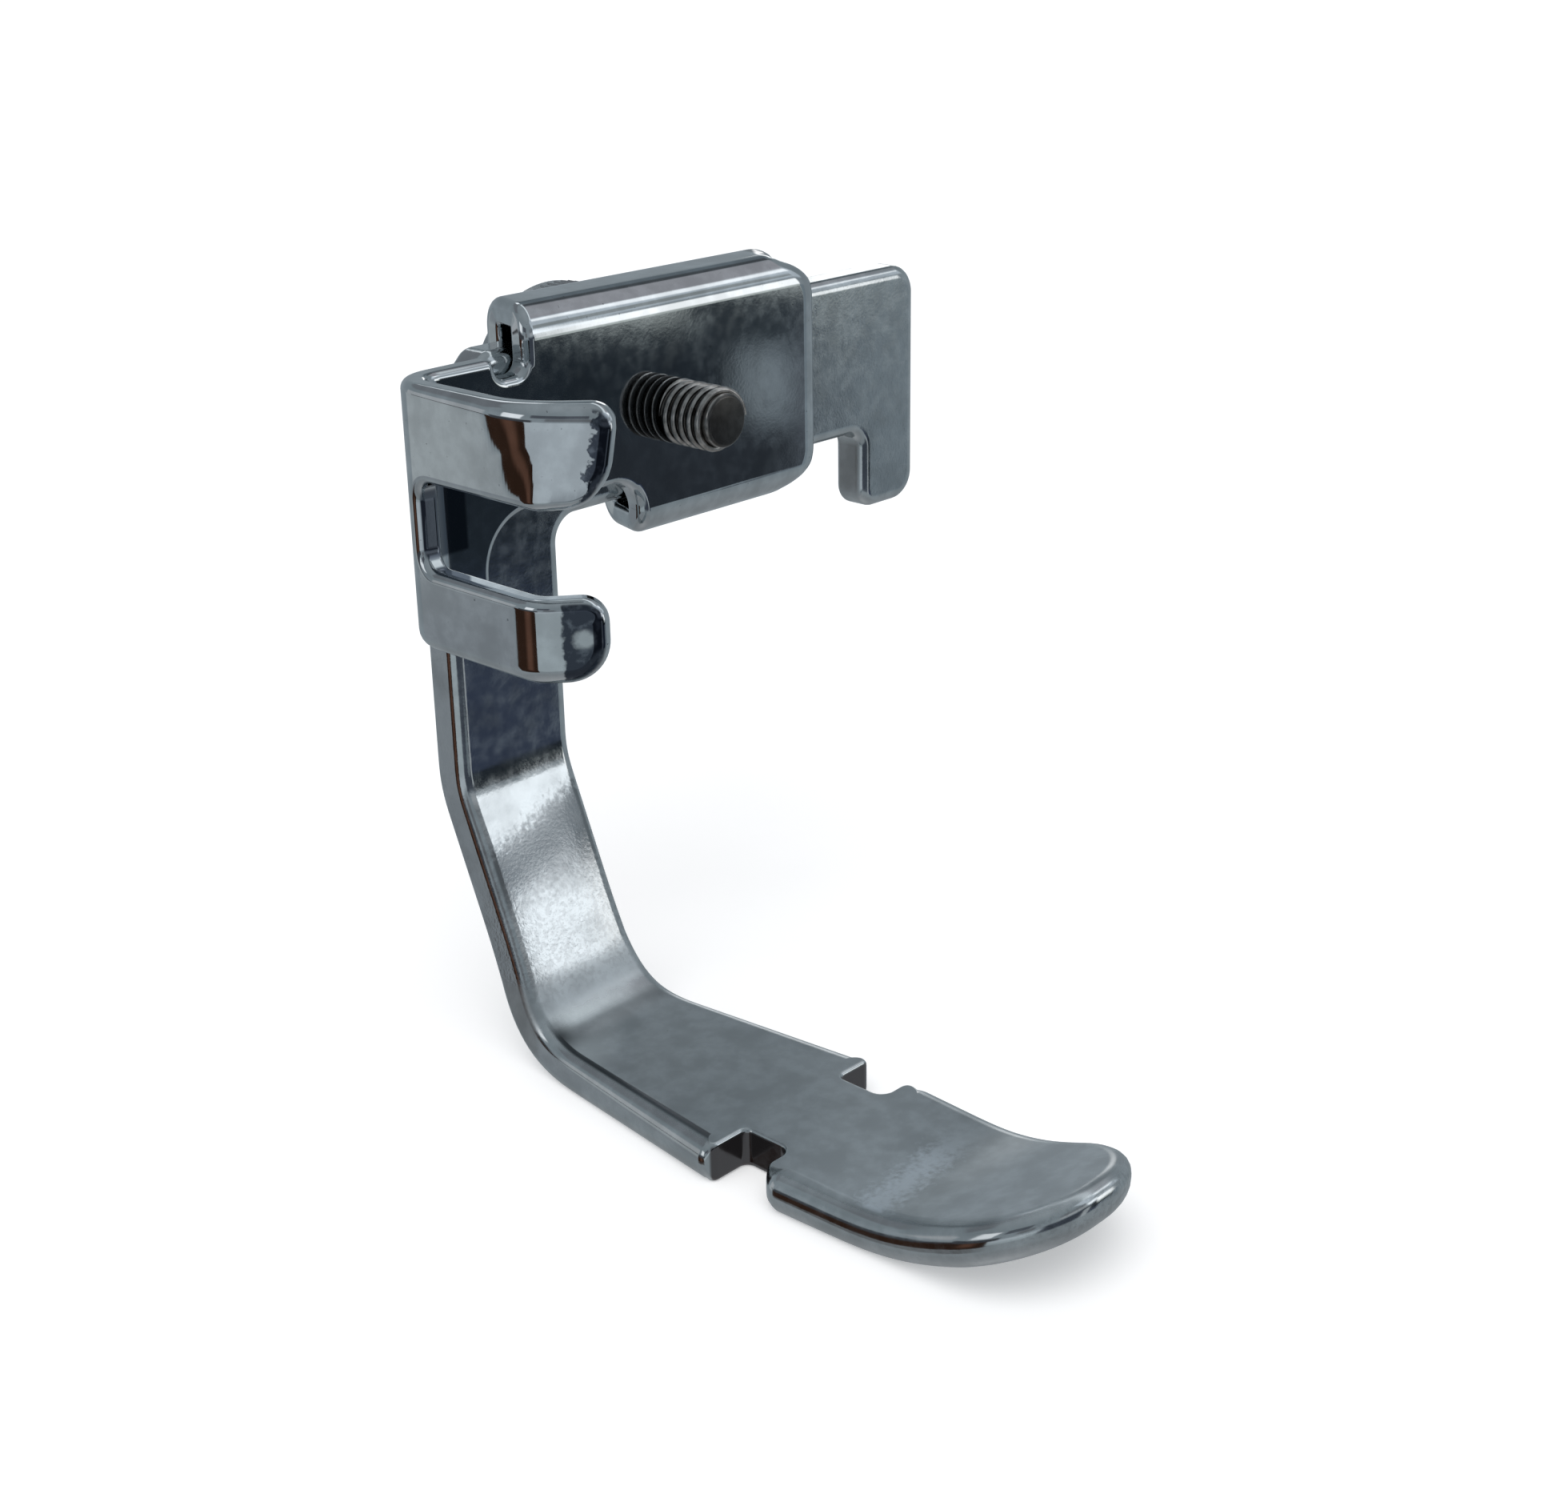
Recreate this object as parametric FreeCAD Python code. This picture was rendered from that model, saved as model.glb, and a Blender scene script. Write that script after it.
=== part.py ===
"""Adjustable presser foot for a sewing machine, high shank, all in millimetres.

The foot arm is one bent strip: a flat bar above, a leg, and a toe that presses the cloth.
Its bar slides sideways in a folded sheet bracket, which grips the machine's presser bar.
A thumb screw behind the bracket clamps the bar where it is wanted.

The origin lies on the sole, midway between the two needle notches. +Z is up, -Y is towards
the person who sews, and +X runs along the bar away from the presser bar.
"""
import FreeCAD, Part
import math
import os

# Sheet and strip
sheet = 1.1                # thickness of the bracket's steel sheet
strip = 1.8                # thickness of the foot arm's steel strip
strip_round = 0.5          # rounding of the foot arm's polished front and upper edges
edge_break = 0.15          # chamfer along its rear and lower edges

# Guide: the flat web with its two rolled edges, in which the bar slides
web_y = 16.95              # needle line to the web's front face
slide_fit = 0.08           # gap between the bar's flat faces and the guide
bottom_play = 0.45         # gap between the bar's lower edge and the lower rolled edge
top_play = 0.75            # gap between the bar's upper edge and the upper rolled edge
roll_radius = 1.45         # outer radius of each rolled edge
lip_fit = 0.3              # gap between the rolled edges' lips and the screw's collar
guide_right = 19.0         # right end of the guide
top_roll_left = 0.9        # left end of the upper rolled edge, at the web's front face
bottom_roll_left = 7.2     # left end of the lower rolled edge
roll_slant = 1.1           # how much further right both rolled edges start at the rear
guide_corner = 2.2         # rounding of the guide's right corners

# Neck: the flat sheet between the guide and the channel for the presser bar
neck_bottom = 24.6         # height of the neck's lower edge
flange_right = -1.75       # right edge of the channel's rear flange, below the neck
neck_fillet = 2.4          # inner corner between that edge and the neck
roll_fillet = 1.6          # inner corner between the neck and the lower rolled edge
relief_width = 1.7         # cut at the left end of the upper rolled edge, so that the sheet can bend
relief_depth = 0.9
relief_round = 0.6         # rounding at the bottom of that cut
relief_lead = 0.4          # rounding at its upper left corner

# Channel for the presser bar
slot_height = 25.4         # middle of the clamp slot above the sole
slot_width = 3.7           # clamp slot, for a clamp screw of about 3.6
slot_corner = 0.9          # rounding of the slot's closed end
slot_end = 0.6             # closed end of the slot, forward of the web's front face
channel_bottom = 20.0
channel_top = 31.3
wall_x = -6.0              # outer face of the channel's wall
wall_length = 7.4          # web's front face to the sharp front corner of the wall
rear_bend = 2.0            # outer radius of the bend between rear flange and wall
front_bend = 1.6           # outer radius of the bend between wall and tines
tine_turn = 51.0           # degrees by which the tines turn from the wall
upper_tine = 3.45          # tine lengths from the wall's sharp front corner
lower_tine = 3.2
tine_top_round = 1.1       # rounding of each tine's upper far corner
tine_low_round = 1.7       # rounding of each tine's lower far corner
flange_corner = 1.5        # rounding of the rear flange's lower right corner

# Foot arm
bar_bottom = 23.4
bar_height = 7.95
bar_right = 27.6
bar_corner = 1.4           # rounding of the bar's right corners
shoulder_cut = 3.4         # slanted outer corner between leg and bar, along each side
shoulder_round = 1.0       # rounding at both ends of that cut
crotch_radius = 1.2        # inner corner between leg and bar
hook_width = 4.1           # hook at the bar's end, which stops the slide
hook_bottom = 19.4
hook_crotch = 0.8          # inner corner between hook and bar
hook_corner = 1.1          # rounding of the hook's lower left corner
leg_width = 6.4
leg_lean = 22.5            # degrees by which the lower leg leans forward
lean_height = 12.4         # where the leg starts to lean, on its front face
lean_radius = 4.0          # bend radii on the concave face of the strip
ankle_radius = 2.3
curl_radius = 11.5
curl_angle = 22.5          # rise of the toe's tip
curl_start = 7.8           # needle line to where the tip's rise would start with a sharp bend
toe_length = 14.6          # needle line to the tip
toe_front_width = 9.9      # toe width at the notches' front edge
toe_tip_width = 8.5        # toe width where the rounded tip starts
tip_radius = 4.1
heel_start = 15.3          # where the toe starts to widen, behind the needle line
heel_radius = 8.0          # hollow corner there
heel_width = 10.3          # toe width at the notches' rear edge
notch_length = 2.4         # needle notches, along the toe
notch_inner = 5.7          # width left between the notches
notch_corner = 0.6
toe_corner = 0.7           # rounding of the toe's corners beside the notches

# Thumb screw
screw_x = 9.8
screw_height = 27.2
thread_diameter = 3.0
thread_fit = 0.04          # radial gap round the thread's crests
thread_reach = 2.9         # how far the screw's end stands out of the web
tip_chamfer = 0.45
slot_fit = 0.3             # radial gap round the thread in the bar's slot
collar_diameter = 4.8      # collar that clamps the bar, between the lips of the rolled edges
collar_gap = 0.02          # collar to bar, with the screw just loose
neck_gap = 1.0             # guide's rear face to the screw's head
head_diameter = 10.5
head_thickness = 4.0
head_edge = 0.5            # chamfer round the head
groove_count = 36          # knurl
groove_depth = 0.3

# Sizes that follow
bar_top = bar_bottom + bar_height
bar_middle = bar_bottom + bar_height / 2
bar_front = web_y + sheet + slide_fit
bar_rear = bar_front + strip
guide_depth = 2 * sheet + 2 * slide_fit + strip
guide_top = bar_top + top_play + sheet
guide_bottom = bar_bottom - bottom_play - sheet
hook_left = bar_right - hook_width
bore_radius = thread_diameter / 2 + thread_fit
wide = 200.0               # longer than anything here, for cutting tools
spare = 3.0                # how far a profile runs past the outline that trims it
skin = 0.05                # depth within which an edge counts as lying on a face

# The arm's outline seen from the front gives way to its outline from above inside the leaning leg,
# halfway between the lean's start and the height at which the heel starts to widen
heel_height = lean_height - (bar_front - heel_start) / math.tan(math.radians(leg_lean))
split_height = (lean_height + heel_height) / 2

# The guide's ends stop the bar: the leg at one side, the hook at the other.
# The hollow corner between leg and bar meets the lower rolled edge a little before the leg does.
stop_left = bottom_roll_left + roll_slant * (sheet + slide_fit) / guide_depth
corner_rise = max(crotch_radius - bottom_play, 0)
corner_reach = crotch_radius - math.sqrt(crotch_radius ** 2 - corner_rise ** 2)
slide_right = stop_left - corner_reach - leg_width / 2
slide_left = hook_left - guide_right


def at_yz(u, v):
    return FreeCAD.Vector(0, u, v)


def at_xz(u, v):
    return FreeCAD.Vector(u, 0, v)


def at_xy(u, v):
    return FreeCAD.Vector(u, v, 0)


def outline(corners, place):
    """Closed wire through (u, v, radius) corners, each rounded by a tangent arc."""
    edges = []
    ends = []
    count = len(corners)
    for i, (u, v, radius) in enumerate(corners):
        before = corners[i - 1]
        after = corners[(i + 1) % count]
        a = FreeCAD.Vector(before[0] - u, before[1] - v, 0).normalize()
        b = FreeCAD.Vector(after[0] - u, after[1] - v, 0).normalize()
        corner = FreeCAD.Vector(u, v, 0)
        half = a.getAngle(b) / 2
        if radius <= 0 or half > math.pi / 2 - 1e-6:
            ends.append((corner, corner))
            continue
        reach = radius / math.tan(half)
        middle = corner + (a + b).normalize() * (radius / math.sin(half) - radius)
        start = corner + a * reach
        end = corner + b * reach
        arc = [place(p.x, p.y) for p in (start, middle, end)]
        edges.append(Part.Arc(*arc).toShape())
        ends.append((start, end))
    for i in range(count):
        start = ends[i - 1][1]
        end = ends[i][0]
        if (end - start).Length > 1e-6:
            edges.append(Part.LineSegment(place(start.x, start.y), place(end.x, end.y)).toShape())
    return Part.Wire(Part.__sortEdges__(edges))


def prism(corners, place, along):
    return Part.Face(outline(corners, place)).extrude(along)


def ribbon(path, thickness):
    """Corners of a bent sheet's edge view. The path follows one face, and the sheet lies on its right."""
    sides = []
    for i in range(len(path) - 1):
        du = path[i + 1][0] - path[i][0]
        dv = path[i + 1][1] - path[i][1]
        size = math.hypot(du, dv)
        sides.append((du / size, dv / size))
    far = []
    for i, (u, v, radius) in enumerate(path):
        first = sides[max(i - 1, 0)]
        second = sides[min(i, len(sides) - 1)]
        turn = first[0] * second[1] - first[1] * second[0]
        share = 1 + first[0] * second[0] + first[1] * second[1]
        shift_u = (first[1] + second[1]) / share * thickness
        shift_v = -(first[0] + second[0]) / share * thickness
        if radius > 0:
            radius += thickness if turn > 0 else -thickness
        far.append((u + shift_u, v + shift_v, radius))
    return list(path) + far[::-1]


def guide_half(left, sign):
    """One rolled edge with its half of the web: a hook-shaped section, run along the guide.

    Seen from above its left end is slanted, as the corner of the flat sheet was cut away.
    """
    edge = guide_top if sign > 0 else guide_bottom
    lip_end = screw_height + sign * (collar_diameter / 2 + lip_fit)
    front = web_y
    back = web_y + guide_depth
    path = [(front, bar_middle, 0), (front, edge, roll_radius), (back, edge, roll_radius), (back, lip_end, 0)]
    if sign < 0:
        path = path[::-1]
    half = prism(ribbon(path, sheet), at_yz, FreeCAD.Vector(guide_right - left, 0, 0))
    half.translate(FreeCAD.Vector(left, 0, 0))
    slanted = prism([(left, front, 0), (left + roll_slant, back, 0), (wide, back, 0), (wide, front, 0)],
                    at_xy, FreeCAD.Vector(0, 0, wide))
    return half.common(slanted)


def guide_corners():
    """What the guide's rounded right corners leave standing, seen from the front."""
    corners = [(-wide, guide_bottom, 0), (guide_right, guide_bottom, guide_corner),
               (guide_right, guide_top, guide_corner), (-wide, guide_top, 0)]
    return prism(corners, at_xz, FreeCAD.Vector(0, wide, 0))


def neck_plate():
    """Flat sheet from the presser-bar channel to the guide, with a relief beside the upper rolled edge."""
    left = wall_x + rear_bend
    top_fold = guide_top - roll_radius
    bottom_fold = guide_bottom + roll_radius
    relief_left = top_roll_left - relief_width
    relief_bottom = channel_top - relief_depth
    corners = [(left, channel_bottom, 0), (flange_right, channel_bottom, flange_corner),
               (flange_right, neck_bottom, neck_fillet), (bottom_roll_left, neck_bottom, roll_fillet),
               (bottom_roll_left, bottom_fold, 0), (guide_right - guide_corner, bottom_fold, 0),
               (guide_right - guide_corner, top_fold, 0), (top_roll_left, top_fold, 0),
               (top_roll_left, relief_bottom, relief_round), (relief_left, relief_bottom, relief_round),
               (relief_left, channel_top, relief_lead), (left, channel_top, 0)]
    plate = prism(corners, at_xz, FreeCAD.Vector(0, sheet, 0))
    plate.translate(FreeCAD.Vector(0, web_y, 0))
    return plate


def tine_end(length):
    """Point at a distance along the tines' outer face from the wall's sharp front corner."""
    angle = math.radians(tine_turn)
    return wall_x + length * math.sin(angle), web_y - wall_length - length * math.cos(angle)


def channel_sheet():
    """Rear flange, wall and one full-height front flange, as a bent sheet seen from above."""
    end_u, end_v = tine_end(upper_tine)
    path = [(end_u, end_v, 0), (wall_x, web_y - wall_length, front_bend),
            (wall_x, web_y + sheet, rear_bend), (wall_x + rear_bend, web_y + sheet, 0)]
    sheet_solid = prism(ribbon(path, sheet), at_xy, FreeCAD.Vector(0, 0, channel_top - channel_bottom))
    sheet_solid.translate(FreeCAD.Vector(0, 0, channel_bottom))
    return sheet_solid


def clamp_slot():
    """Slot for the clamp screw: closed at the rear of the wall, open at the tines' ends."""
    low = slot_height - slot_width / 2
    high = slot_height + slot_width / 2
    closed = web_y - slot_end
    corners = [(closed, low, slot_corner), (closed, high, slot_corner), (-wide, high, 0), (-wide, low, 0)]
    slot = prism(corners, at_yz, FreeCAD.Vector(wide, 0, 0))
    slot.translate(FreeCAD.Vector(-wide / 2, 0, 0))
    return slot


def tine_shape(bottom, top, length):
    """What a tine's rounded end leaves standing, cut square to the tine's flat."""
    angle = math.radians(tine_turn)
    along = FreeCAD.Vector(math.sin(angle), -math.cos(angle), 0)
    through = FreeCAD.Vector(math.cos(angle), math.sin(angle), 0)
    corner = FreeCAD.Vector(wall_x, web_y - wall_length, 0)

    def place(u, v):
        return corner + along * u + FreeCAD.Vector(0, 0, v) - through * wide / 2

    corners = [(-wide, bottom, 0), (length, bottom, tine_low_round),
               (length, top, tine_top_round), (-wide, top, 0)]
    return prism(corners, place, through * wide)


def shank_bracket():
    """The folded sheet: channel for the presser bar, neck, and guide for the bar."""
    channel = channel_sheet()
    low = slot_height - slot_width / 2
    high = slot_height + slot_width / 2
    lower = tine_shape(channel_bottom, low, lower_tine)
    upper = tine_shape(high, channel_top, upper_tine)
    rear = Part.makeBox(wide, wide, wide, FreeCAD.Vector(-wide / 2, web_y - wall_length + front_bend, -wide / 2))
    channel = channel.common(lower.fuse([upper, rear]))
    channel = channel.cut(clamp_slot())
    guide = guide_half(top_roll_left, 1).fuse(guide_half(bottom_roll_left, -1)).common(guide_corners())
    bracket = channel.fuse([neck_plate(), guide])
    bore = Part.makeCylinder(bore_radius, wide, FreeCAD.Vector(screw_x, web_y - wide / 2, screw_height),
                             FreeCAD.Vector(0, 1, 0))
    web_only = Part.makeBox(wide, 2 * sheet, wide, FreeCAD.Vector(-wide / 2, web_y - sheet / 2, -wide / 2))
    return bracket.cut(bore.common(web_only)).removeSplitter()


def arm_side(thickness):
    """The bent strip seen from the side, as wide as the bar is long. The path follows the concave face."""
    lean = math.radians(leg_lean)
    ankle_v = strip
    ankle_u = bar_front - (lean_height - ankle_v) * math.tan(lean)
    curl = math.radians(curl_angle)
    tip_u = -toe_length - spare
    tip_v = strip + (toe_length + spare - curl_start) * math.tan(curl)
    path = [(bar_front, bar_top + spare, 0), (bar_front, lean_height, lean_radius),
            (ankle_u, ankle_v, ankle_radius), (-curl_start, ankle_v, curl_radius), (tip_u, tip_v, 0)]
    side = prism(ribbon(path[::-1], thickness), at_yz, FreeCAD.Vector(2 * wide, 0, 0))
    side.translate(FreeCAD.Vector(-wide, 0, 0))
    return side


def bar_outline():
    """Bar, hook and leg seen from the front, down to the height where the toe's outline takes over."""
    half = leg_width / 2
    corners = [(-half, split_height, 0), (half, split_height, 0), (half, bar_bottom, crotch_radius),
               (hook_left, bar_bottom, hook_crotch), (hook_left, hook_bottom, hook_corner),
               (bar_right, hook_bottom, bar_corner), (bar_right, bar_top, bar_corner),
               (shoulder_cut - half, bar_top, shoulder_round), (-half, bar_top - shoulder_cut, shoulder_round)]
    return prism(corners, at_xz, FreeCAD.Vector(0, wide, 0))


def toe_outline():
    """Leg and toe seen from above, with no notches yet: heel, sides and rounded tip."""
    notch = notch_length / 2
    right = [(leg_width / 2, bar_rear, 0), (leg_width / 2, heel_start, heel_radius),
             (heel_width / 2, notch, 0), (toe_front_width / 2, -notch, 0),
             (toe_tip_width / 2, -toe_length, tip_radius)]
    left = [(-u, v, r) for u, v, r in right[::-1]]
    toe = prism(right + left, at_xy, FreeCAD.Vector(0, 0, split_height + wide))
    toe.translate(FreeCAD.Vector(0, 0, -wide))
    return toe


def needle_notches():
    """Both notches as cutting tools, which also round the toe's corners beside them."""
    notch = notch_length / 2
    reach = toe_corner + skin
    front = toe_front_width / 2
    front_taper = (toe_front_width - toe_tip_width) / 2 * reach / (toe_length - notch)
    rear = heel_width / 2
    rear_taper = (heel_width - leg_width) / 2 * reach / (heel_start - notch)
    right = [(notch_inner / 2, notch, notch_corner), (notch_inner / 2, -notch, notch_corner),
             (front, -notch, toe_corner), (front - front_taper, -notch - reach, 0),
             (wide, -notch - reach, 0), (wide, notch + reach, 0),
             (rear - rear_taper, notch + reach, 0), (rear, notch, toe_corner)]
    left = [(-u, v, radius) for u, v, radius in right]
    notches = []
    for corners in (right, left):
        tool = prism(corners, at_xy, FreeCAD.Vector(0, 0, 3 * strip))
        tool.translate(FreeCAD.Vector(0, 0, -strip))
        notches.append(tool)
    return notches


def bar_slot():
    """Long slot in the bar, so that the screw can stay in the guide while the bar slides."""
    radius = thread_diameter / 2 + slot_fit
    left = screw_x - slide_right
    right = screw_x + slide_left
    front = bar_front - spare
    depth = strip + 2 * spare
    back = FreeCAD.Vector(0, 1, 0)
    left_end = Part.makeCylinder(radius, depth, FreeCAD.Vector(left, front, screw_height), back)
    right_end = Part.makeCylinder(radius, depth, FreeCAD.Vector(right, front, screw_height), back)
    middle = Part.makeBox(right - left, depth, 2 * radius, FreeCAD.Vector(left, front, screw_height - radius))
    return middle.fuse([left_end, right_end])


def middle_of(edge):
    return edge.valueAt((edge.FirstParameter + edge.LastParameter) / 2)


def foot_arm():
    """Bar, leg and toe in one strip. Its front and upper edges are polished round, its rear ones just broken."""
    arm = arm_side(strip).common(bar_outline().fuse(toe_outline())).removeSplitter()
    front_skin = arm_side(skin)
    rear_skin = arm_side(strip).cut(arm_side(strip - skin))
    front_edges = [edge for edge in arm.Edges if front_skin.isInside(middle_of(edge), skin / 10, True)]
    arm = arm.makeFillet(strip_round, front_edges)
    rear_edges = [edge for edge in arm.Edges if rear_skin.isInside(middle_of(edge), skin / 10, True)]
    arm = arm.makeChamfer(edge_break, rear_edges)
    return arm.cut([bar_slot()] + needle_notches())


def knurl_grooves(head_front, radius):
    """V-grooves all round the head, along its axis."""
    width = math.pi * radius / groove_count
    corners = [(radius - groove_depth, 0, 0), (radius + groove_depth, -width, 0), (radius + groove_depth, width, 0)]
    groove = prism(corners, at_xz, FreeCAD.Vector(0, head_thickness, 0))
    grooves = []
    for i in range(groove_count):
        one = groove.copy()
        one.rotate(FreeCAD.Vector(0, 0, 0), FreeCAD.Vector(0, 1, 0), i * 360 / groove_count)
        one.translate(FreeCAD.Vector(screw_x, head_front, screw_height))
        grooves.append(one)
    return Part.makeCompound(grooves)


def thumb_screw():
    """Knurled head, collar and plain cylinder at the thread's crests, turned about one axis."""
    collar_front = bar_rear + collar_gap
    head_front = web_y + guide_depth + neck_gap
    head_rear = head_front + head_thickness
    tip = web_y - thread_reach
    r = thread_diameter / 2
    rc = collar_diameter / 2
    rh = head_diameter / 2
    half = [(0, tip), (r - tip_chamfer, tip), (r, tip + tip_chamfer), (r, collar_front), (rc, collar_front),
            (rc, head_front), (rh - head_edge, head_front), (rh, head_front + head_edge),
            (rh, head_rear - head_edge), (rh - head_edge, head_rear), (0, head_rear), (0, tip)]
    points = [FreeCAD.Vector(screw_x + u, v, screw_height) for u, v in half]
    axis = FreeCAD.Vector(screw_x, 0, screw_height)
    screw = Part.Face(Part.makePolygon(points)).revolve(axis, FreeCAD.Vector(0, 1, 0), 360)
    return screw.cut(knurl_grooves(head_front, rh))


pieces = {"shank_bracket": shank_bracket, "foot_arm": foot_arm, "thumb_screw": thumb_screw}
os.makedirs("parts", exist_ok=True)
for name, make in pieces.items():
    shape = make()
    if shape.ShapeType != "Solid" and len(shape.Solids) == 1:
        shape = shape.Solids[0]
    box = shape.BoundBox
    print(f"{name}: {len(shape.Solids)} solid, valid {shape.isValid()}, {shape.Volume:.1f} mm3, "
          f"x {box.XMin:.2f} to {box.XMax:.2f}, y {box.YMin:.2f} to {box.YMax:.2f}, "
          f"z {box.ZMin:.2f} to {box.ZMax:.2f}")
    shape.exportStep(f"parts/{name}.step")
print(f"slide travel: {slide_left:.2f} to the left, {slide_right:.2f} to the right")
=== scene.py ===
# %% [markdown]
# An adjustable presser foot for a high-shank sewing machine. The real one is three pieces: a sheet
# bracket folded from a flat blank, a foot arm bent from thicker strip, and a knurled thumb screw.
# Both stampings are tumbled until every edge is round, and then chrome plated. So each one is made
# here as it is made in the press shop: a flat blank with rounded edges comes first, and it is bent
# afterwards. That keeps every flat truly flat and every bend truly round, which polished chrome
# shows at once. The CAD nodes give the sizes, and the row's frame is kept.

# %% Frame
import math

import bmesh
import bpy
import numpy as np
from mathutils import Matrix, Vector
from mathutils.geometry import delaunay_2d_cdt


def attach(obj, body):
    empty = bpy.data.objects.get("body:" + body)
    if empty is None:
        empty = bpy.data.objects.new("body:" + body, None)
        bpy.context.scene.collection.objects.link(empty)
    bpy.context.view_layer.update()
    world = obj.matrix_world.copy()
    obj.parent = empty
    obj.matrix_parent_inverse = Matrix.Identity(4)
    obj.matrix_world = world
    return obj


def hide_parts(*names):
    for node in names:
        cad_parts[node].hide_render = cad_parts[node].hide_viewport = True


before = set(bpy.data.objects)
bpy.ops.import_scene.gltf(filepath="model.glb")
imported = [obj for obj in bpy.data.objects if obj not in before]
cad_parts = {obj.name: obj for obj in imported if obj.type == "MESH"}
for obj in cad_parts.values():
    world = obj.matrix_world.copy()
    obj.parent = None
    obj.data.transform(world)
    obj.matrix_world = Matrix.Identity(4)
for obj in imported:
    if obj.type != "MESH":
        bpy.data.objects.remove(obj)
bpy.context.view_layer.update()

MM = 0.001


def in_mm(place):
    """A place in metres as rounded millimetres, for the printed lines."""
    return [round(v / MM, 2) for v in place]


# %% [markdown]
# The blank of a stamping is one closed line on the flat sheet, made of straight runs and tangent
# arcs. Every point of the line keeps its own direction out of the metal, because the rounding of
# the edge and its shading follow from it. Places are in millimetres until the mesh is made. A
# Bevel modifier could round the edges as well, but it can't widen the rounding along one edge.

# %% Lines of the blank
ARC_STEP = math.radians(6.0)


def rounded_line(corners):
    """Points and outward directions of a closed counter-clockwise line through (u, v, radius) corners."""
    points, outs = [], []
    count = len(corners)
    for i, (u, v, radius) in enumerate(corners):
        here = np.array([u, v], float)
        a = np.array(corners[i - 1][:2], float) - here
        b = np.array(corners[(i + 1) % count][:2], float) - here
        a /= np.linalg.norm(a)
        b /= np.linalg.norm(b)
        out_a = np.array([-a[1], a[0]])
        out_b = np.array([b[1], -b[0]])
        turn = math.acos(max(-1.0, min(1.0, float(out_a @ out_b))))
        if radius <= 0 or turn < 1e-3:
            middle = out_a + out_b
            points.append(here)
            outs.append(middle / np.linalg.norm(middle))
            continue
        convex = a[0] * b[1] - a[1] * b[0] < 0
        reach = radius * math.tan(turn / 2)
        centre = here + a * reach + (-out_a if convex else out_a) * radius
        steps = max(3, math.ceil(turn / ARC_STEP))
        for k in range(steps + 1):
            share = k / steps
            out = (math.sin((1 - share) * turn) * out_a + math.sin(share * turn) * out_b) / math.sin(turn)
            points.append(centre + (out if convex else -out) * radius)
            outs.append(out)
    return np.array(points), np.array(outs)


def circle_line(u, v, radius, steps=48):
    """A round hole: clockwise, with directions out of the metal, so towards the hole's middle."""
    angles = -np.arange(steps) * 2 * math.pi / steps
    ring = np.stack([np.cos(angles), np.sin(angles)], axis=1)
    return np.array([u, v]) + ring * radius, -ring


def ramp(value, start, end):
    """0 before start, 1 after end and soft between, for a number or for an array of them."""
    share = np.clip((value - start) / (end - start), 0, 1)
    return share * share * (3 - 2 * share)


# %% [markdown]
# A blank gets its thickness and its tumbled edges in one go: the line is copied row by row, from
# the front face round the edge to the rear face, and each row steps inwards as the rounding asks.
# Then the sheet is scored across wherever it will bend, so that the bend has facets to follow.
# The true direction of the surface rides along on each corner and is turned with the metal.

# %% Edge and flat faces of a blank
ROUND_STEPS = 6


def edge_rows(front, rear, thickness):
    """(inset, depth, outward share, rearward share) for each row, from the front face to the rear.

    front and rear are (reach across the face, reach down the edge) of each rounding.
    """
    quarter = [math.pi / 2 * k / ROUND_STEPS for k in range(ROUND_STEPS + 1)]
    rows = []
    for angle in quarter:
        s, c = math.sin(angle), math.cos(angle)
        rows.append((front[0] * (1 - s), front[1] * (1 - c), s * front[1], -c * front[0]))
    for angle in quarter:
        s, c = math.sin(angle), math.cos(angle)
        rows.append((rear[0] * (1 - c), thickness - rear[1] * (1 - s), c * rear[1], s * rear[0]))
    return rows


def add_edge(bm, facing, loop, thickness):
    """Rows of corners round one line of the blank, with faces between. Gives the first and last row."""
    points, outs, front_round, rear_round = loop
    grid = []
    for inset, depth, outward, rearward in edge_rows(front_round, rear_round, thickness):
        flat = points - outs * inset[:, None]
        ring = []
        for i in range(len(points)):
            vert = bm.verts.new((flat[i, 0], flat[i, 1], depth[i]))
            facing_here = Vector((outs[i, 0] * outward[i], outs[i, 1] * outward[i], rearward[i]))
            vert[facing] = facing_here.normalized()
            ring.append(vert)
        grid.append(ring)
    for upper, lower in zip(grid, grid[1:]):
        for i in range(len(points)):
            j = (i + 1) % len(points)
            bm.faces.new((upper[i], lower[i], lower[j], upper[j]))
    return grid[0], grid[-1]


def fill_face(bm, rings, front):
    """The flat face inside the outer ring and round the holes, in triangles."""
    verts = [vert for ring in rings for vert in ring]
    borders = []
    start = 0
    for ring in rings:
        borders += [(start + i, start + (i + 1) % len(ring)) for i in range(len(ring))]
        start += len(ring)
    result = delaunay_2d_cdt([Vector(vert.co.xy) for vert in verts], borders, [], 2, 1e-7)
    triangles, sources = result[2], result[3]
    for triangle in triangles:
        corners = [verts[sources[k][0]] for k in triangle]
        bm.faces.new(corners if front else corners[::-1])


# %% From blank to bent sheet
def placed(name, data):
    """An object for a mesh, a camera or a light, put into the scene."""
    thing = bpy.data.objects.new(name, data)
    bpy.context.scene.collection.objects.link(thing)
    return thing


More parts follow.
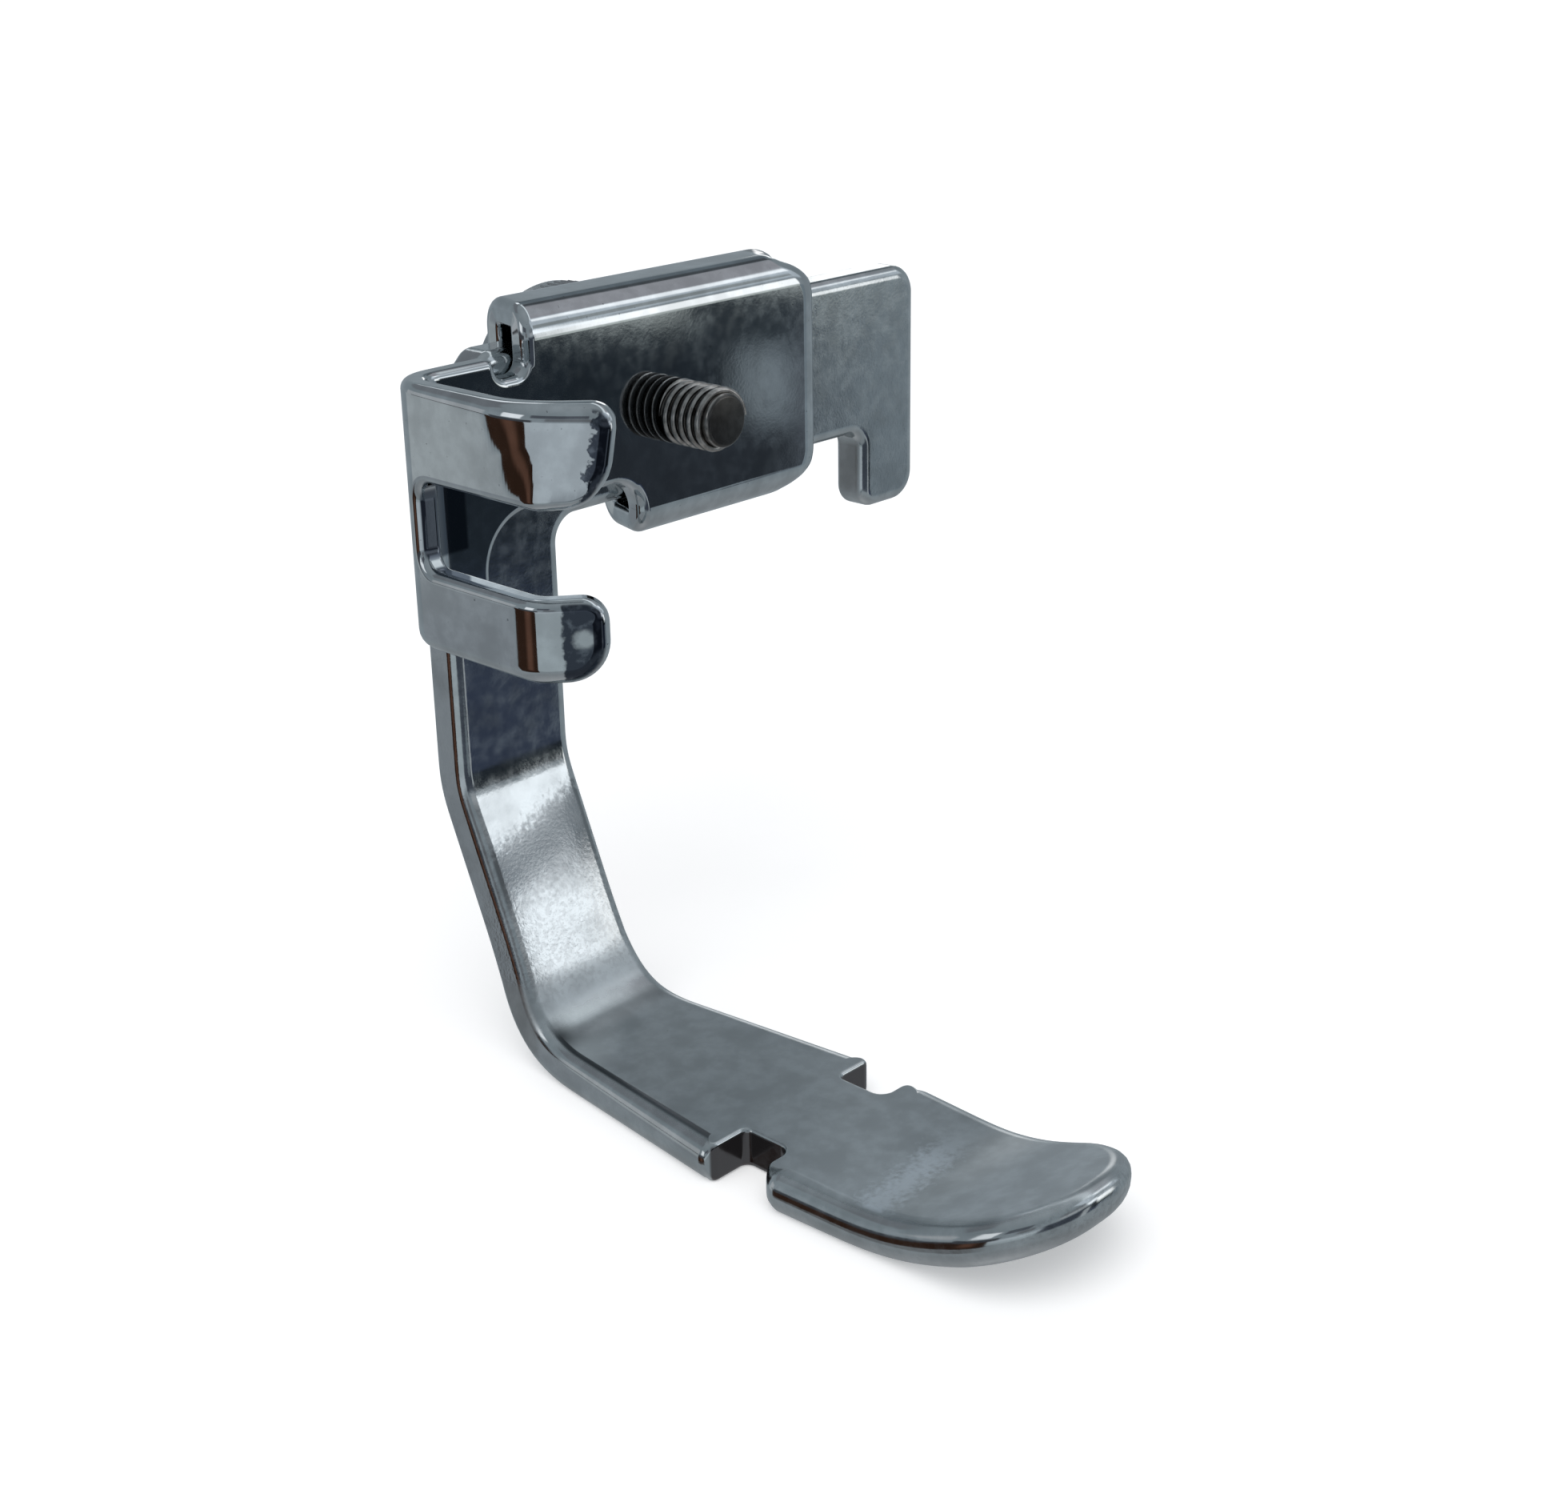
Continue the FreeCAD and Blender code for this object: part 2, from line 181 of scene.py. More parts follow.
def bent_sheet(name, loops, thickness, scores, bend):
    """A bent stamping. loops: (points, outs, front roundings, rear roundings), the outer line first.

    scores are (axis, place) lines across the blank. bend(u, v, depth) gives a point in the frame and
    the frame directions of u, v and depth there.
    """
    bm = bmesh.new()
    facing = bm.verts.layers.float_vector.new("facing")
    front_rings, rear_rings = zip(*[add_edge(bm, facing, loop, thickness) for loop in loops])
    fill_face(bm, front_rings, True)
    fill_face(bm, rear_rings, False)
    for axis, place in scores:
        normal = Vector((1, 0, 0)) if axis == "u" else Vector((0, 1, 0))
        geom = bm.verts[:] + bm.edges[:] + bm.faces[:]
        bmesh.ops.bisect_plane(bm, geom=geom, dist=1e-5, plane_co=normal * place, plane_no=normal)
    normals = []
    for vert in bm.verts:
        point, along_u, along_v, along_depth = bend(*vert.co)
        n = vert[facing]
        direction = along_u * n[0] + along_v * n[1] + along_depth * n[2]
        normals.append(direction.normalized())
        vert.co = point * MM
    bm.verts.layers.float_vector.remove(facing)
    mesh = bpy.data.meshes.new(name)
    bm.to_mesh(mesh)
    bm.free()
    mesh.shade_smooth()
    mesh.normals_split_custom_set_from_vertices(normals)
    return placed(name, mesh)


# %% [markdown]
# Foot arm. The strip is 1.8 mm thick and nearly 60 mm long before bending. Seen from the front it
# is a bar with a hook, and a leg; seen from above it is a toe with a needle notch at each side.
# The bends leave the leg upright, lean it forward, turn it into the toe and lift the toe's tip.
# It could be carved from a block with Boolean cuts, but only a bent strip keeps one thickness.

# %% Sizes of the foot arm
strip = 1.8
bar_front = 18.13
bar_bottom, bar_top, bar_right = 23.4, 31.35, 27.6
shoulder = 2.95
leg_width = 6.4
hook_left, hook_bottom = 23.5, 19.4
lean_height, leg_lean, lean_radius = 12.4, math.radians(22.5), 4.0
ankle_radius = 2.3
toe_length, toe_front_width, toe_tip_width, tip_radius = 14.6, 9.9, 8.5, 4.1
heel_start, heel_width, heel_radius = 15.3, 10.3, 8.0
notch_front, notch_back, notch_inner = 1.12, 1.4, 5.7
curl_start, curl_angle, curl_radius = 7.8, math.radians(22.5), 11.5
past_tip = 3.0

# Side view of the concave face as (y, z, bend radius) corners, from the bar's top to past the toe's tip
ankle_y = bar_front - (lean_height - strip) * math.tan(leg_lean)
end_height = strip + (toe_length + past_tip - curl_start) * math.tan(curl_angle)
side_path = [(bar_front, bar_top, 0.0), (bar_front, lean_height, lean_radius),
             (ankle_y, strip, ankle_radius), (-curl_start, strip, curl_radius),
             (-toe_length - past_tip, end_height, 0.0)]
print("foot arm: the ankle bends at y", round(ankle_y, 2), "mm")


# %% Bent lines
def path_runs(path):
    """Straight runs and arcs of a bent line: (start length, end length, kind, data)."""
    runs = []
    length = 0.0
    here = np.array(path[0][:2], float)
    for i in range(1, len(path)):
        corner = np.array(path[i][:2], float)
        along = corner - np.array(path[i - 1][:2], float)
        along /= np.linalg.norm(along)
        radius = path[i][2]
        if i == len(path) - 1:
            end = corner
        else:
            onward = np.array(path[i + 1][:2], float) - corner
            onward /= np.linalg.norm(onward)
            turn = math.atan2(along[0] * onward[1] - along[1] * onward[0], float(along @ onward))
            reach = radius * math.tan(abs(turn) / 2)
            end = corner - along * reach
        size = float(np.linalg.norm(end - here))
        runs.append((length, length + size, "line", (here, along)))
        length += size
        if i < len(path) - 1:
            side = np.array([-along[1], along[0]]) * (1 if turn > 0 else -1)
            centre = end + side * radius
            runs.append((length, length + radius * abs(turn), "arc", (centre, radius, along, turn)))
            length += radius * abs(turn)
            here = corner + onward * reach
    return runs


def on_path(runs, length):
    """Point of the bent line at a length, and its direction there."""
    for start, end, kind, data in runs:
        if length <= end or (start, end) == (runs[-1][0], runs[-1][1]):
            break
    if kind == "line":
        here, along = data
        return here + along * (length - start), along
    centre, radius, along, turn = data
    angle = (length - start) / radius * (1 if turn > 0 else -1)
    c, s = math.cos(angle), math.sin(angle)
    now = np.array([along[0] * c - along[1] * s, along[0] * s + along[1] * c])
    side = np.array([-now[1], now[0]]) * (1 if turn > 0 else -1)
    return centre - side * radius, now


# %% [markdown]
# Springback. A press bends the strip round a tool, but the metal springs back a little, so no bend
# of the real arm starts at a sharp line, and a mirror finish would show one. An exact arc between
# straight runs is the usual way to draw a bend. Here each point of that exact line is replaced by
# the mean of its neighbours, which makes every bend run out softly and leaves the rest straight.

# %% Springback
def softened(runs, reach, step=0.02, samples=13):
    """Table of a bent line whose bends run out softly: each point is the mean of its neighbours.

    reach is how far the neighbours lie, in millimetres: one number, or pairs of (length, reach).
    """
    beyond, further = 3.0, 5.0
    lengths = np.arange(-beyond, runs[-1][1] + beyond, step)
    all_lengths = np.arange(-further, runs[-1][1] + further, step)
    exact = np.array([np.concatenate(on_path(runs, s)) for s in all_lengths])
    reaches = np.full(len(lengths), reach) if np.isscalar(reach) else np.interp(lengths, *zip(*reach))
    table = np.zeros((len(lengths), 4))
    for share in np.linspace(-1, 1, samples):
        for k in range(4):
            table[:, k] += np.interp(lengths + share * reaches, all_lengths, exact[:, k]) / samples
    table[:, 2:] /= np.linalg.norm(table[:, 2:], axis=1)[:, None]
    return lengths, table


def along_table(table, length):
    """Point and direction of a softened line at a length."""
    lengths, rows = table
    place = (length - lengths[0]) / (lengths[1] - lengths[0])
    k = min(len(lengths) - 2, max(0, int(place)))
    row = rows[k] + (rows[k + 1] - rows[k]) * (place - k)
    return row[:2], row[2:]


arm_runs = path_runs(side_path)
lean_run, ankle_run, curl_run = arm_runs[1], arm_runs[3], arm_runs[5]
arm_length = arm_runs[-1][1]
lean_length, ankle_length = lean_run[0], ankle_run[1]
arm_softness = [(lean_length + 2.5, 0.35), (ankle_run[0] - 3.0, 1.5), (ankle_length + 1.0, 1.5),
                (ankle_length + 4.0, 1.0)]
arm_table = softened(arm_runs, arm_softness)
print("foot arm: the lean starts after", round(lean_length, 2), "mm of strip")

# %% [markdown]
# The arm's blank is known from two sides of the finished part: the toe from above and the bar from
# the front. The bar is flat, so its outline is used as it is. The toe's outline is laid out flat:
# each of its points goes as far along the strip as the strip needs to reach that depth.

# %% Toe laid out flat
def arm_length_at(y):
    """Length along the strip at which its upper face reaches a depth y, by halving."""
    low, high = 0.0, arm_length
    for _ in range(40):
        middle = (low + high) / 2
        if along_table(arm_table, middle)[0][0] > y:
            low = middle
        else:
            high = middle
    return (low + high) / 2


def from_plan(points, outs):
    """Plan view of the toe, (x, y), laid out flat. The blank's v is minus the length along the strip."""
    flat, turned = [], []
    for (x, y), (nx, ny) in zip(points, outs):
        length = arm_length_at(y)
        direction = along_table(arm_table, length)[1]
        stretch = 1.0 / max(abs(direction[0]), 0.05)
        n = np.array([nx * stretch, ny])
        flat.append((x, -length))
        turned.append(n / np.linalg.norm(n))
    return np.array(flat), np.array(turned)


half_leg, half_heel, half_front = leg_width / 2, heel_width / 2, toe_front_width / 2
plan_end = 18.0
plan = [(toe_tip_width / 2, -toe_length, tip_radius), (half_front, -notch_front, 0.95),
        (notch_inner / 2, -notch_front, 0.6), (notch_inner / 2, notch_back, 0.35),
        (half_heel, notch_back, 0.6), (half_leg, heel_start, heel_radius), (half_leg, plan_end, 0.0)]
plan += [(-u, v, r) for u, v, r in plan[::-1]]
toe_points, toe_outs = rounded_line(plan)
side_count = next(i for i, p in enumerate(toe_points) if p[1] > plan_end - 0.1)
right_flat, right_out = from_plan(toe_points[:side_count], toe_outs[:side_count])
left_flat, left_out = from_plan(toe_points[side_count + 2:], toe_outs[side_count + 2:])
print("foot arm: strip of", round(arm_length_at(-toe_length), 2), "mm up to the toe's tip")

# %% Outline of the foot arm's blank
front = [(-half_leg, 15.0, 0.0), (half_leg, 15.0, 0.0), (half_leg, bar_bottom, 1.2),
         (hook_left, bar_bottom, 0.8), (hook_left, hook_bottom, 1.1), (bar_right, hook_bottom, 1.4),
         (bar_right, bar_top, 1.4), (shoulder - half_leg, bar_top, 1.0),
         (-half_leg, bar_top - shoulder, 1.0)]
bar_points, bar_outs = rounded_line(front)
bar_points, bar_outs = bar_points[2:], bar_outs[2:]
bar_flat = np.stack([bar_points[:, 0], bar_points[:, 1] - bar_top], axis=1)
arm_line = np.concatenate([right_flat, bar_flat, left_flat])
arm_outs = np.concatenate([right_out, bar_outs, left_out])
print("foot arm: blank line of", len(arm_line), "points")

# %% Tumbled edges of the foot arm
notch_v = -arm_length_at(0.0)
from_notch = np.maximum(notch_v - arm_line[:, 1] - notch_front, arm_line[:, 1] - notch_v - notch_back)
out_of_notch = ramp(from_notch, -0.02, 0.4)
toe_share = ramp(-arm_line[:, 1], ankle_length - 2.0, ankle_length + 2.0)
to_tip = ramp(notch_v - arm_line[:, 1], 2.0, 7.0)


def edge_reach(in_notch, on_strip, on_toe, at_tip):
    """Reach of a rounding at every point of the blank's line, soft from one stretch to the next."""
    usual = on_strip + (on_toe - on_strip) * toe_share
    return (in_notch + (usual - in_notch) * out_of_notch) * (1 - to_tip) + at_tip * to_tip


arm_front_round = (edge_reach(0.16, 0.62, 0.95, 0.95), edge_reach(0.16, 0.5, 0.85, 0.85))
arm_back_round = (edge_reach(0.2, 0.3, 0.5, 0.6), edge_reach(0.25, 0.3, 0.9, 0.8))
narrowest, widest = arm_front_round[0].min(), arm_front_round[0].max()
print("foot arm: front edges rounded by", round(narrowest, 2), "to", round(widest, 2), "mm")

# %% Slot of the foot arm
slot_radius, slot_left, slot_right = 1.8, 5.75, 14.3
slot_height = 27.2
half_steps = 16
slot_line, slot_outs = [], []
for middle, first_angle in ((slot_right, math.pi / 2), (slot_left, -math.pi / 2)):
    for k in range(half_steps + 1):
        angle = first_angle - math.pi * k / half_steps
        away = np.array([math.cos(angle), math.sin(angle)])
        slot_line.append(np.array([middle, slot_height - bar_top]) + away * slot_radius)
        slot_outs.append(-away)
slot_line, slot_outs = np.array(slot_line), np.array(slot_outs)
slot_round = (np.full(len(slot_line), 0.12), np.full(len(slot_line), 0.12))
print("foot arm: slot", round(slot_right - slot_left + 2 * slot_radius, 2), "mm long")


# %% Bent foot arm
curl_length = curl_run[0] - 1.1
crown = math.radians(6.5)
wave_middle, wave_reach, wave_tilt = lean_length + 4.4, 1.5, math.radians(4.0)


def bend_arm(u, v, depth):
    """The strip's bends. From the curl on, the tip is cut upright through the sheet, as the photo shows.

    The leg's faces are shaded as slightly crowned, with one shallow wave along it: tumbling leaves a
    sheet a little round across, and the two bends leave it not quite straight.
    """
    length = -v
    point, along = along_table(arm_table, length)
    cut_y = point[0]
    slope = 0.0
    if length > curl_length:
        for _ in range(8):
            point, along = along_table(arm_table, length)
            length -= (point[0] - along[1] * depth - cut_y) / along[0]
        point, along = along_table(arm_table, length)
        slope = along[1] / -along[0]
    rear = np.array([-along[1], along[0]])
    y, z = point + rear * depth
    across_cut = -along - slope * rear
    on_leg = ramp(length, lean_length + 1.0, lean_length + 4.0)
    on_leg *= 1 - ramp(length, ankle_length - 1.0, ankle_length + 1.0)
    tilt = crown * on_leg * (u / half_leg) * abs(u / half_leg)
    out = -1 if depth < strip / 2 else 1
    wave = wave_tilt * math.exp(-((length - wave_middle + 0.3 * u) / wave_reach) ** 2)
    through = Vector((tilt * out, rear[0] + along[0] * wave, rear[1] + along[1] * wave))
    return Vector((u, y, z)), Vector((1, 0, 0)), Vector((0, across_cut[0], across_cut[1])), through


def bend_lengths(first, last, step):
    """Places of the score lines, from a little before a bend to a little after it."""
    return np.arange(first - 1.2, last + 1.4, step)


arm_loops = [(arm_line, arm_outs, arm_front_round, arm_back_round),
             (slot_line, slot_outs, slot_round, slot_round)]
arm_scores = [("v", -s) for s in bend_lengths(lean_length, ankle_length, 0.25)]
arm_scores += [("v", -s) for s in bend_lengths(curl_run[0], curl_run[1], 0.35)]
arm_scores += [("u", x) for x in np.linspace(-2.5, 2.5, 9)]
arm = bent_sheet("foot_arm_strip", arm_loops, strip, arm_scores, bend_arm)
print("foot arm:", len(arm.data.vertices), "corners")

# %% [markdown]
# Shank bracket. Its blank is 1.1 mm sheet: to the left two tines with the clamp slot between them,
# which fold round the presser bar, and to the right the guide, whose upper and lower edges are
# rolled back so that the bar can slide in them. Upright folds lie left of the neck and level ones
# in the guide, so one rule for each side of the blank is enough to bend it.

# %% Sizes of the bracket
sheet = 1.1
web_y = 16.95
wall_x = -6.0
rear_bend, front_bend = 2.0, 1.6
tine_turn = math.radians(51.0)
wall_length = 7.4
channel_bottom, channel_top = 20.0, 31.3
slot_low, slot_high, slot_end_depth = 23.55, 27.25, 0.6
upper_tine, lower_tine = 3.57, 3.2
guide_right, guide_top, guide_bottom, guide_corner = 19.0, 33.2, 21.73, 2.2
guide_depth, roll = 4.16, 1.45
top_left, bottom_left, roll_slant = 0.9, 7.2, 1.1
relief_width, relief_depth = 1.7, 0.9
neck_bottom, flange_right = 24.6, -1.75
lip_top, lip_bottom, lip_corner = 29.9, 24.5, 0.5
screw_x, screw_z, bore = 9.8, 27.2, 1.54

# %% Folds and rolls of the bracket
fold_x = wall_x + rear_bend
tine_y = web_y - wall_length
tine_line = 6.0


def channel_line(fold_y, radius, turn):
    """The channel's outer face seen from above, from the neck round the wall to the end of a tine."""
    tine_end = (wall_x + tine_line * math.sin(turn), fold_y - tine_line * math.cos(turn), 0.0)
    return [(fold_x, web_y + sheet, 0.0), (wall_x, web_y + sheet, rear_bend),
            (wall_x, fold_y, radius), tine_end]


def roll_line(fold, edge, lip):
    """A roll seen from its end: its outer face from the web over the guide's edge and on to the lip."""
    return [(web_y, fold, 0.0), (web_y, edge, roll), (web_y + guide_depth, edge, roll),
            (web_y + guide_depth, lip, 0.0)]


channel_runs = path_runs(channel_line(tine_y, front_bend, tine_turn))
top_fold, bottom_fold = guide_top - roll, guide_bottom + roll
top_runs = path_runs(roll_line(top_fold, guide_top, lip_top))
bottom_runs = path_runs(roll_line(bottom_fold, guide_bottom, lip_bottom))
top_reach, bottom_reach = top_runs[-1][1], bottom_runs[-1][1]
tine_start = channel_runs[-1][0] - front_bend * math.tan(tine_turn / 2)
print("bracket: rolls of", round(top_reach, 2), "and", round(bottom_reach, 2), "mm")

# %% Ends of the rolls
corner_ease = 0.31


def roll_edge(runs, reach, left, count=40):
    """A roll's end line on the blank as (x, length, rounding) points.

    At the left it slants from the x named left. At the right, where left is None, it is round.
    """
    line = []
    for k in range(count + 1):
        length = reach * k / count
        last = k == count
        if not last and length > reach - lip_corner * 1.1:
            continue
        (y, z), _ = on_path(runs, length)
        if left is not None:
            x = left + roll_slant * (y - web_y) / guide_depth
        else:
            middle = (guide_top + guide_bottom) / 2
            over = max(0.0, abs(z - middle) - (guide_top - guide_bottom) / 2 + guide_corner)
            over *= 1 - corner_ease * float(ramp(y - web_y, 0.8, 3.2))
            x = guide_right - guide_corner + math.sqrt(max(0.0, guide_corner ** 2 - over ** 2))
        line.append((x, length, lip_corner if last else 0.0))
    return line


def above_web(line):
    return [(x, top_fold + s, r) for x, s, r in line]


def below_web(line):
    return [(x, bottom_fold - s, r) for x, s, r in line]


def guide_corner_line(edge, up, angles):
    """Points round one corner of the guide. up is 1 for the upper corner and -1 for the lower one."""
    middle_x, middle_z = guide_right - guide_corner, edge - up * guide_corner
    return [(middle_x + guide_corner * math.cos(a), middle_z + up * guide_corner * math.sin(a), 0.0)
            for a in angles]


# %% Outline of the bracket's blank
def channel_u(length):
    return fold_x - length


corner_angles = np.linspace(math.asin(1 - roll / guide_corner), 0, 8)
slot_end_u = channel_u(rear_bend * math.acos((rear_bend - sheet - slot_end_depth) / rear_bend))
upper_end_u, lower_end_u = channel_u(tine_start + upper_tine), channel_u(tine_start + lower_tine)
relief_left, relief_bottom = top_left - relief_width, channel_top - relief_depth

corners = below_web(roll_edge(bottom_runs, bottom_reach, None)[::-1])
corners += guide_corner_line(guide_bottom, -1, corner_angles[1:])
corners += guide_corner_line(guide_top, 1, corner_angles[::-1][:-1])
corners += above_web(roll_edge(top_runs, top_reach, None))
corners += above_web(roll_edge(top_runs, top_reach, top_left)[::-1])
corners += [(top_left, relief_bottom, 0.6), (relief_left, relief_bottom, 0.6), (relief_left, channel_top, 0.4),
            (upper_end_u, channel_top, 1.1), (upper_end_u, slot_high, 1.7),
            (slot_end_u, slot_high, 0.9), (slot_end_u, slot_low, 0.9),
            (lower_end_u, slot_low, 1.1), (lower_end_u, channel_bottom, 1.7),
            (flange_right, channel_bottom, 1.5), (flange_right, neck_bottom, 2.4),
            (bottom_left, neck_bottom, 1.6)]
corners += below_web(roll_edge(bottom_runs, bottom_reach, bottom_left))
bracket_line, bracket_outs = rounded_line(corners)
print("bracket: blank line of", len(bracket_line), "points")

# %% Tumbled edges of the bracket
sheet_round, inner_round = 0.36, 0.25
guide_end_round, guide_end_reach = 0.47, 1.0
wall_round, wall_reach = 0.68, 0.75

line_u, line_v = bracket_line[:, 0], bracket_line[:, 1]
in_channel = ramp(-line_u, 1.2, 3.2)
at_guide_end = ramp(line_u, 12.0, 14.0)
top_roll_end = (line_v > channel_top - 0.5) & (line_u > 0.3) & (line_u < 3)
bottom_roll_end = (line_v < neck_bottom - 0.5) & (line_u > 6) & (line_u < 9)
at_roll_end = np.where(top_roll_end | bottom_roll_end, 1.0, at_guide_end)
front_round = sheet_round + (guide_end_round - sheet_round) * at_roll_end
front_round = front_round + (inner_round - front_round) * in_channel
from_lips = np.minimum(top_fold + top_reach - line_v, line_v - bottom_fold + bottom_reach)
widened = at_guide_end * ramp(from_lips, 2.0, 4.0)
front_inset = front_round + (guide_end_reach - guide_end_round) * widened
at_slot = in_channel * ramp(np.abs(line_v - (slot_low + slot_high) / 2), 2.6, 2.1)
rear_round = inner_round + (wall_round - inner_round) * in_channel - 0.22 * at_slot
rear_inset = inner_round + (wall_reach - inner_round) * in_channel - 0.32 * at_slot
print("bracket: front edges rounded by", round(front_inset.min(), 2), "to", round(front_inset.max(), 2), "mm")

# %% [markdown]
# The tines are folded in towards the presser bar, and the upper one not quite square: its bend is
# tight beside the slot and leans and widens upwards, as over a cone. So the channel has a softened
# line of its own for each height there, and one for all the rest. A Lattice could lean a fold too,
# but it would stretch the sheet and the tine's outline with it.

# %% Folds of the channel
fold_reach = 0.35
lower_fold_setback, lower_fold_radius = 0.1, 1.7
upper_fold_setback, upper_fold_lean = 0.6, 1.15
upper_fold_radius, upper_fold_growth, upper_fold_power = 0.5, 4.2, 1.25
upper_fold_turn, upper_fold_loss = 55.0, 12.0
fold_levels = 40
fold_tables = {}


def channel_at(length, v):
    """The channel's outer face at a length from the neck and a height, and its direction there."""
    share = float(np.clip((v - slot_high) / (channel_top - slot_high), 0, 1))
    share = round(share * fold_levels) / fold_levels
    key = share if v > (slot_low + slot_high) / 2 else "lower"
    if key not in fold_tables:
        if key == "lower":
            line = channel_line(tine_y - lower_fold_setback, lower_fold_radius, tine_turn)
        else:
            line = channel_line(tine_y - upper_fold_setback + upper_fold_lean * share,
                                upper_fold_radius + upper_fold_growth * share ** upper_fold_power,
                                math.radians(upper_fold_turn - upper_fold_loss * share))
        fold_tables[key] = softened(path_runs(line), fold_reach, 0.02, 7)
    return along_table(fold_tables[key], length)


# %% Bent bracket
top_roll_from, bottom_roll_from = 0.0, 5.0


def rolled(u, runs, length, depth, up):
    """A place on a roll with its directions. up is 1 for the upper roll and -1 for the lower one."""
    point, along = on_path(runs, length)
    inward = np.array([along[1], -along[0]]) * up
    y, z = point + inward * depth
    return Vector((u, y, z)), Vector((1, 0, 0)), Vector((0, *(along * up))), Vector((0, *inward))


def bend_bracket(u, v, depth):
    """The channel's folds left of the neck, the guide's rolls above and below the web, flat between."""
    if u < fold_x + fold_reach:
        point, along = channel_at(fold_x - u, v)
        inward = np.array([-along[1], along[0]])
        x, y = point + inward * (sheet - depth)
        return Vector((x, y, v)), Vector((*-along, 0)), Vector((0, 0, 1)), Vector((*-inward, 0))
    if v > top_fold and u > top_roll_from:
        return rolled(u, top_runs, v - top_fold, depth, 1)
    if v < bottom_fold and u > bottom_roll_from:
        return rolled(u, bottom_runs, bottom_fold - v, depth, -1)
    return Vector((u, web_y + depth, v)), Vector((1, 0, 0)), Vector((0, 0, 1)), Vector((0, 1, 0))


def arc_lengths(runs, step=math.radians(5.0)):
    """Lengths of the score lines across each arc of a bent line."""
    lengths = []
    for start, end, kind, data in runs:
        if kind == "arc":
            count = max(2, math.ceil(abs(data[3]) / step))
            lengths += [start + (end - start) * k / count for k in range(count + 1)]
    return lengths


bore_line, bore_outs = circle_line(screw_x, screw_z, bore)
bore_front, bore_rear = np.full(len(bore_line), 0.3), np.full(len(bore_line), 0.12)
bracket_loops = [(bracket_line, bracket_outs, (front_inset, front_round), (rear_inset, rear_round)),
                 (bore_line, bore_outs, (bore_front, bore_front), (bore_rear, bore_rear))]
neck_fold, tine_fold = channel_runs[1], channel_runs[3]
neck_lengths = np.arange(-fold_reach, neck_fold[1] + fold_reach, 0.18)
tine_lengths = np.arange(tine_fold[0] - 2.2, tine_fold[0] + 3.0, 0.16)
bracket_scores = [("u", channel_u(s)) for s in (*neck_lengths, *tine_lengths)]
bracket_scores += [("v", top_fold + s) for s in arc_lengths(top_runs)]
bracket_scores += [("v", bottom_fold - s) for s in arc_lengths(bottom_runs)]
bracket = bent_sheet("folded_bracket", bracket_loops, sheet, bracket_scores, bend_bracket)
print("bracket:", len(bracket.data.vertices), "corners")

# %% [markdown]
# Thumb screw. Head, collar and shank are turned in one piece, so the shape is a profile spun about
# the screw's own axis, with closed poles. The Screw modifier could spin it too. Here the rings are
# written one by one, because then every ring has its place in the frame at once.

# %% Sizes of the thumb screw
thread_crest, thread_core, thread_pitch = 1.5, 1.2, 0.5
end_radius, shank_radius, collar_radius = 1.12, 1.45, 2.38
screw_tip = web_y - 2.9
thread_end = bar_front + 1.2
collar_front = bar_front + strip + 0.02
head_front = web_y + guide_depth + 1.0
head_rear = head_front + 4.0
head_radius, groove_depth = 4.98, 0.06
knurl_base = head_radius - groove_depth
print("thumb screw:", round(head_rear - screw_tip, 2), "mm long")


# %% Turned body
def lathe(name, profile, segments=128):
    """Spun mesh about the screw's axis from (radius, y) points; the first and last lie on the axis."""
    bm = bmesh.new()
    rings = []
    for radius, y in profile:
        if radius < 1e-6:
            rings.append([bm.verts.new(Vector((screw_x, y, screw_z)) * MM)])
            continue
        ring = []
        for k in range(segments):
            a = 2 * math.pi * k / segments
            place = Vector((screw_x + radius * math.sin(a), y, screw_z + radius * math.cos(a)))
            ring.append(bm.verts.new(place * MM))
        rings.append(ring)
    for one, two in zip(rings, rings[1:]):
        for k in range(segments):
            j = (k + 1) % segments
            corners = [one[k % len(one)], one[j % len(one)], two[j % len(two)], two[k % len(two)]]
            bm.faces.new(list(dict.fromkeys(corners)))
    bmesh.ops.recalc_face_normals(bm, faces=bm.faces[:])
    mesh = bpy.data.meshes.new(name)
    bm.to_mesh(mesh)
    bm.free()
    mesh.shade_smooth()
    mesh.set_sharp_from_angle(angle=math.radians(35))
    return placed(name, mesh)


def eased(points, radius, steps=4):
    """A profile with its inner corners rounded."""
    line = [points[0]]
    for i in range(1, len(points) - 1):
        here = np.array(points[i], float)
        a = np.array(points[i - 1], float) - here
        b = np.array(points[i + 1], float) - here
        reach = min(radius, np.linalg.norm(a) / 2.2, np.linalg.norm(b) / 2.2)
        a, b = here + a / np.linalg.norm(a) * reach, here + b / np.linalg.norm(b) * reach
        for k in range(steps + 1):
            t = k / steps
            line.append(tuple((1 - t) ** 2 * a + 2 * t * (1 - t) * here + t * t * b))
    line.append(points[-1])
    return line


body_profile = [(0, screw_tip), (end_radius, screw_tip), (thread_core + 0.03, screw_tip + 0.12),
                (thread_core, screw_tip + 0.5), (thread_core, thread_end),
                (shank_radius, thread_end + 0.3), (shank_radius, collar_front),
                (collar_radius, collar_front), (collar_radius, head_front),
                (knurl_base - 0.35, head_front), (knurl_base, head_front + 0.35),
                (knurl_base, head_rear - 0.45), (knurl_base - 0.5, head_rear), (0, head_rear)]
screw_body = lathe("thumb_screw_body", eased(body_profile, 0.12))
print("thumb screw: body of", len(screw_body.data.vertices), "corners")

# %% [markdown]
# Thread and knurl. The thread follows a helix and the knurl's ridges repeat round the head, so both
# are grown with Geometry Nodes. Each tree has named inputs for its sizes. It is evaluated once, and
# the result is kept as a plain mesh, so nothing live is left on the finished piece.

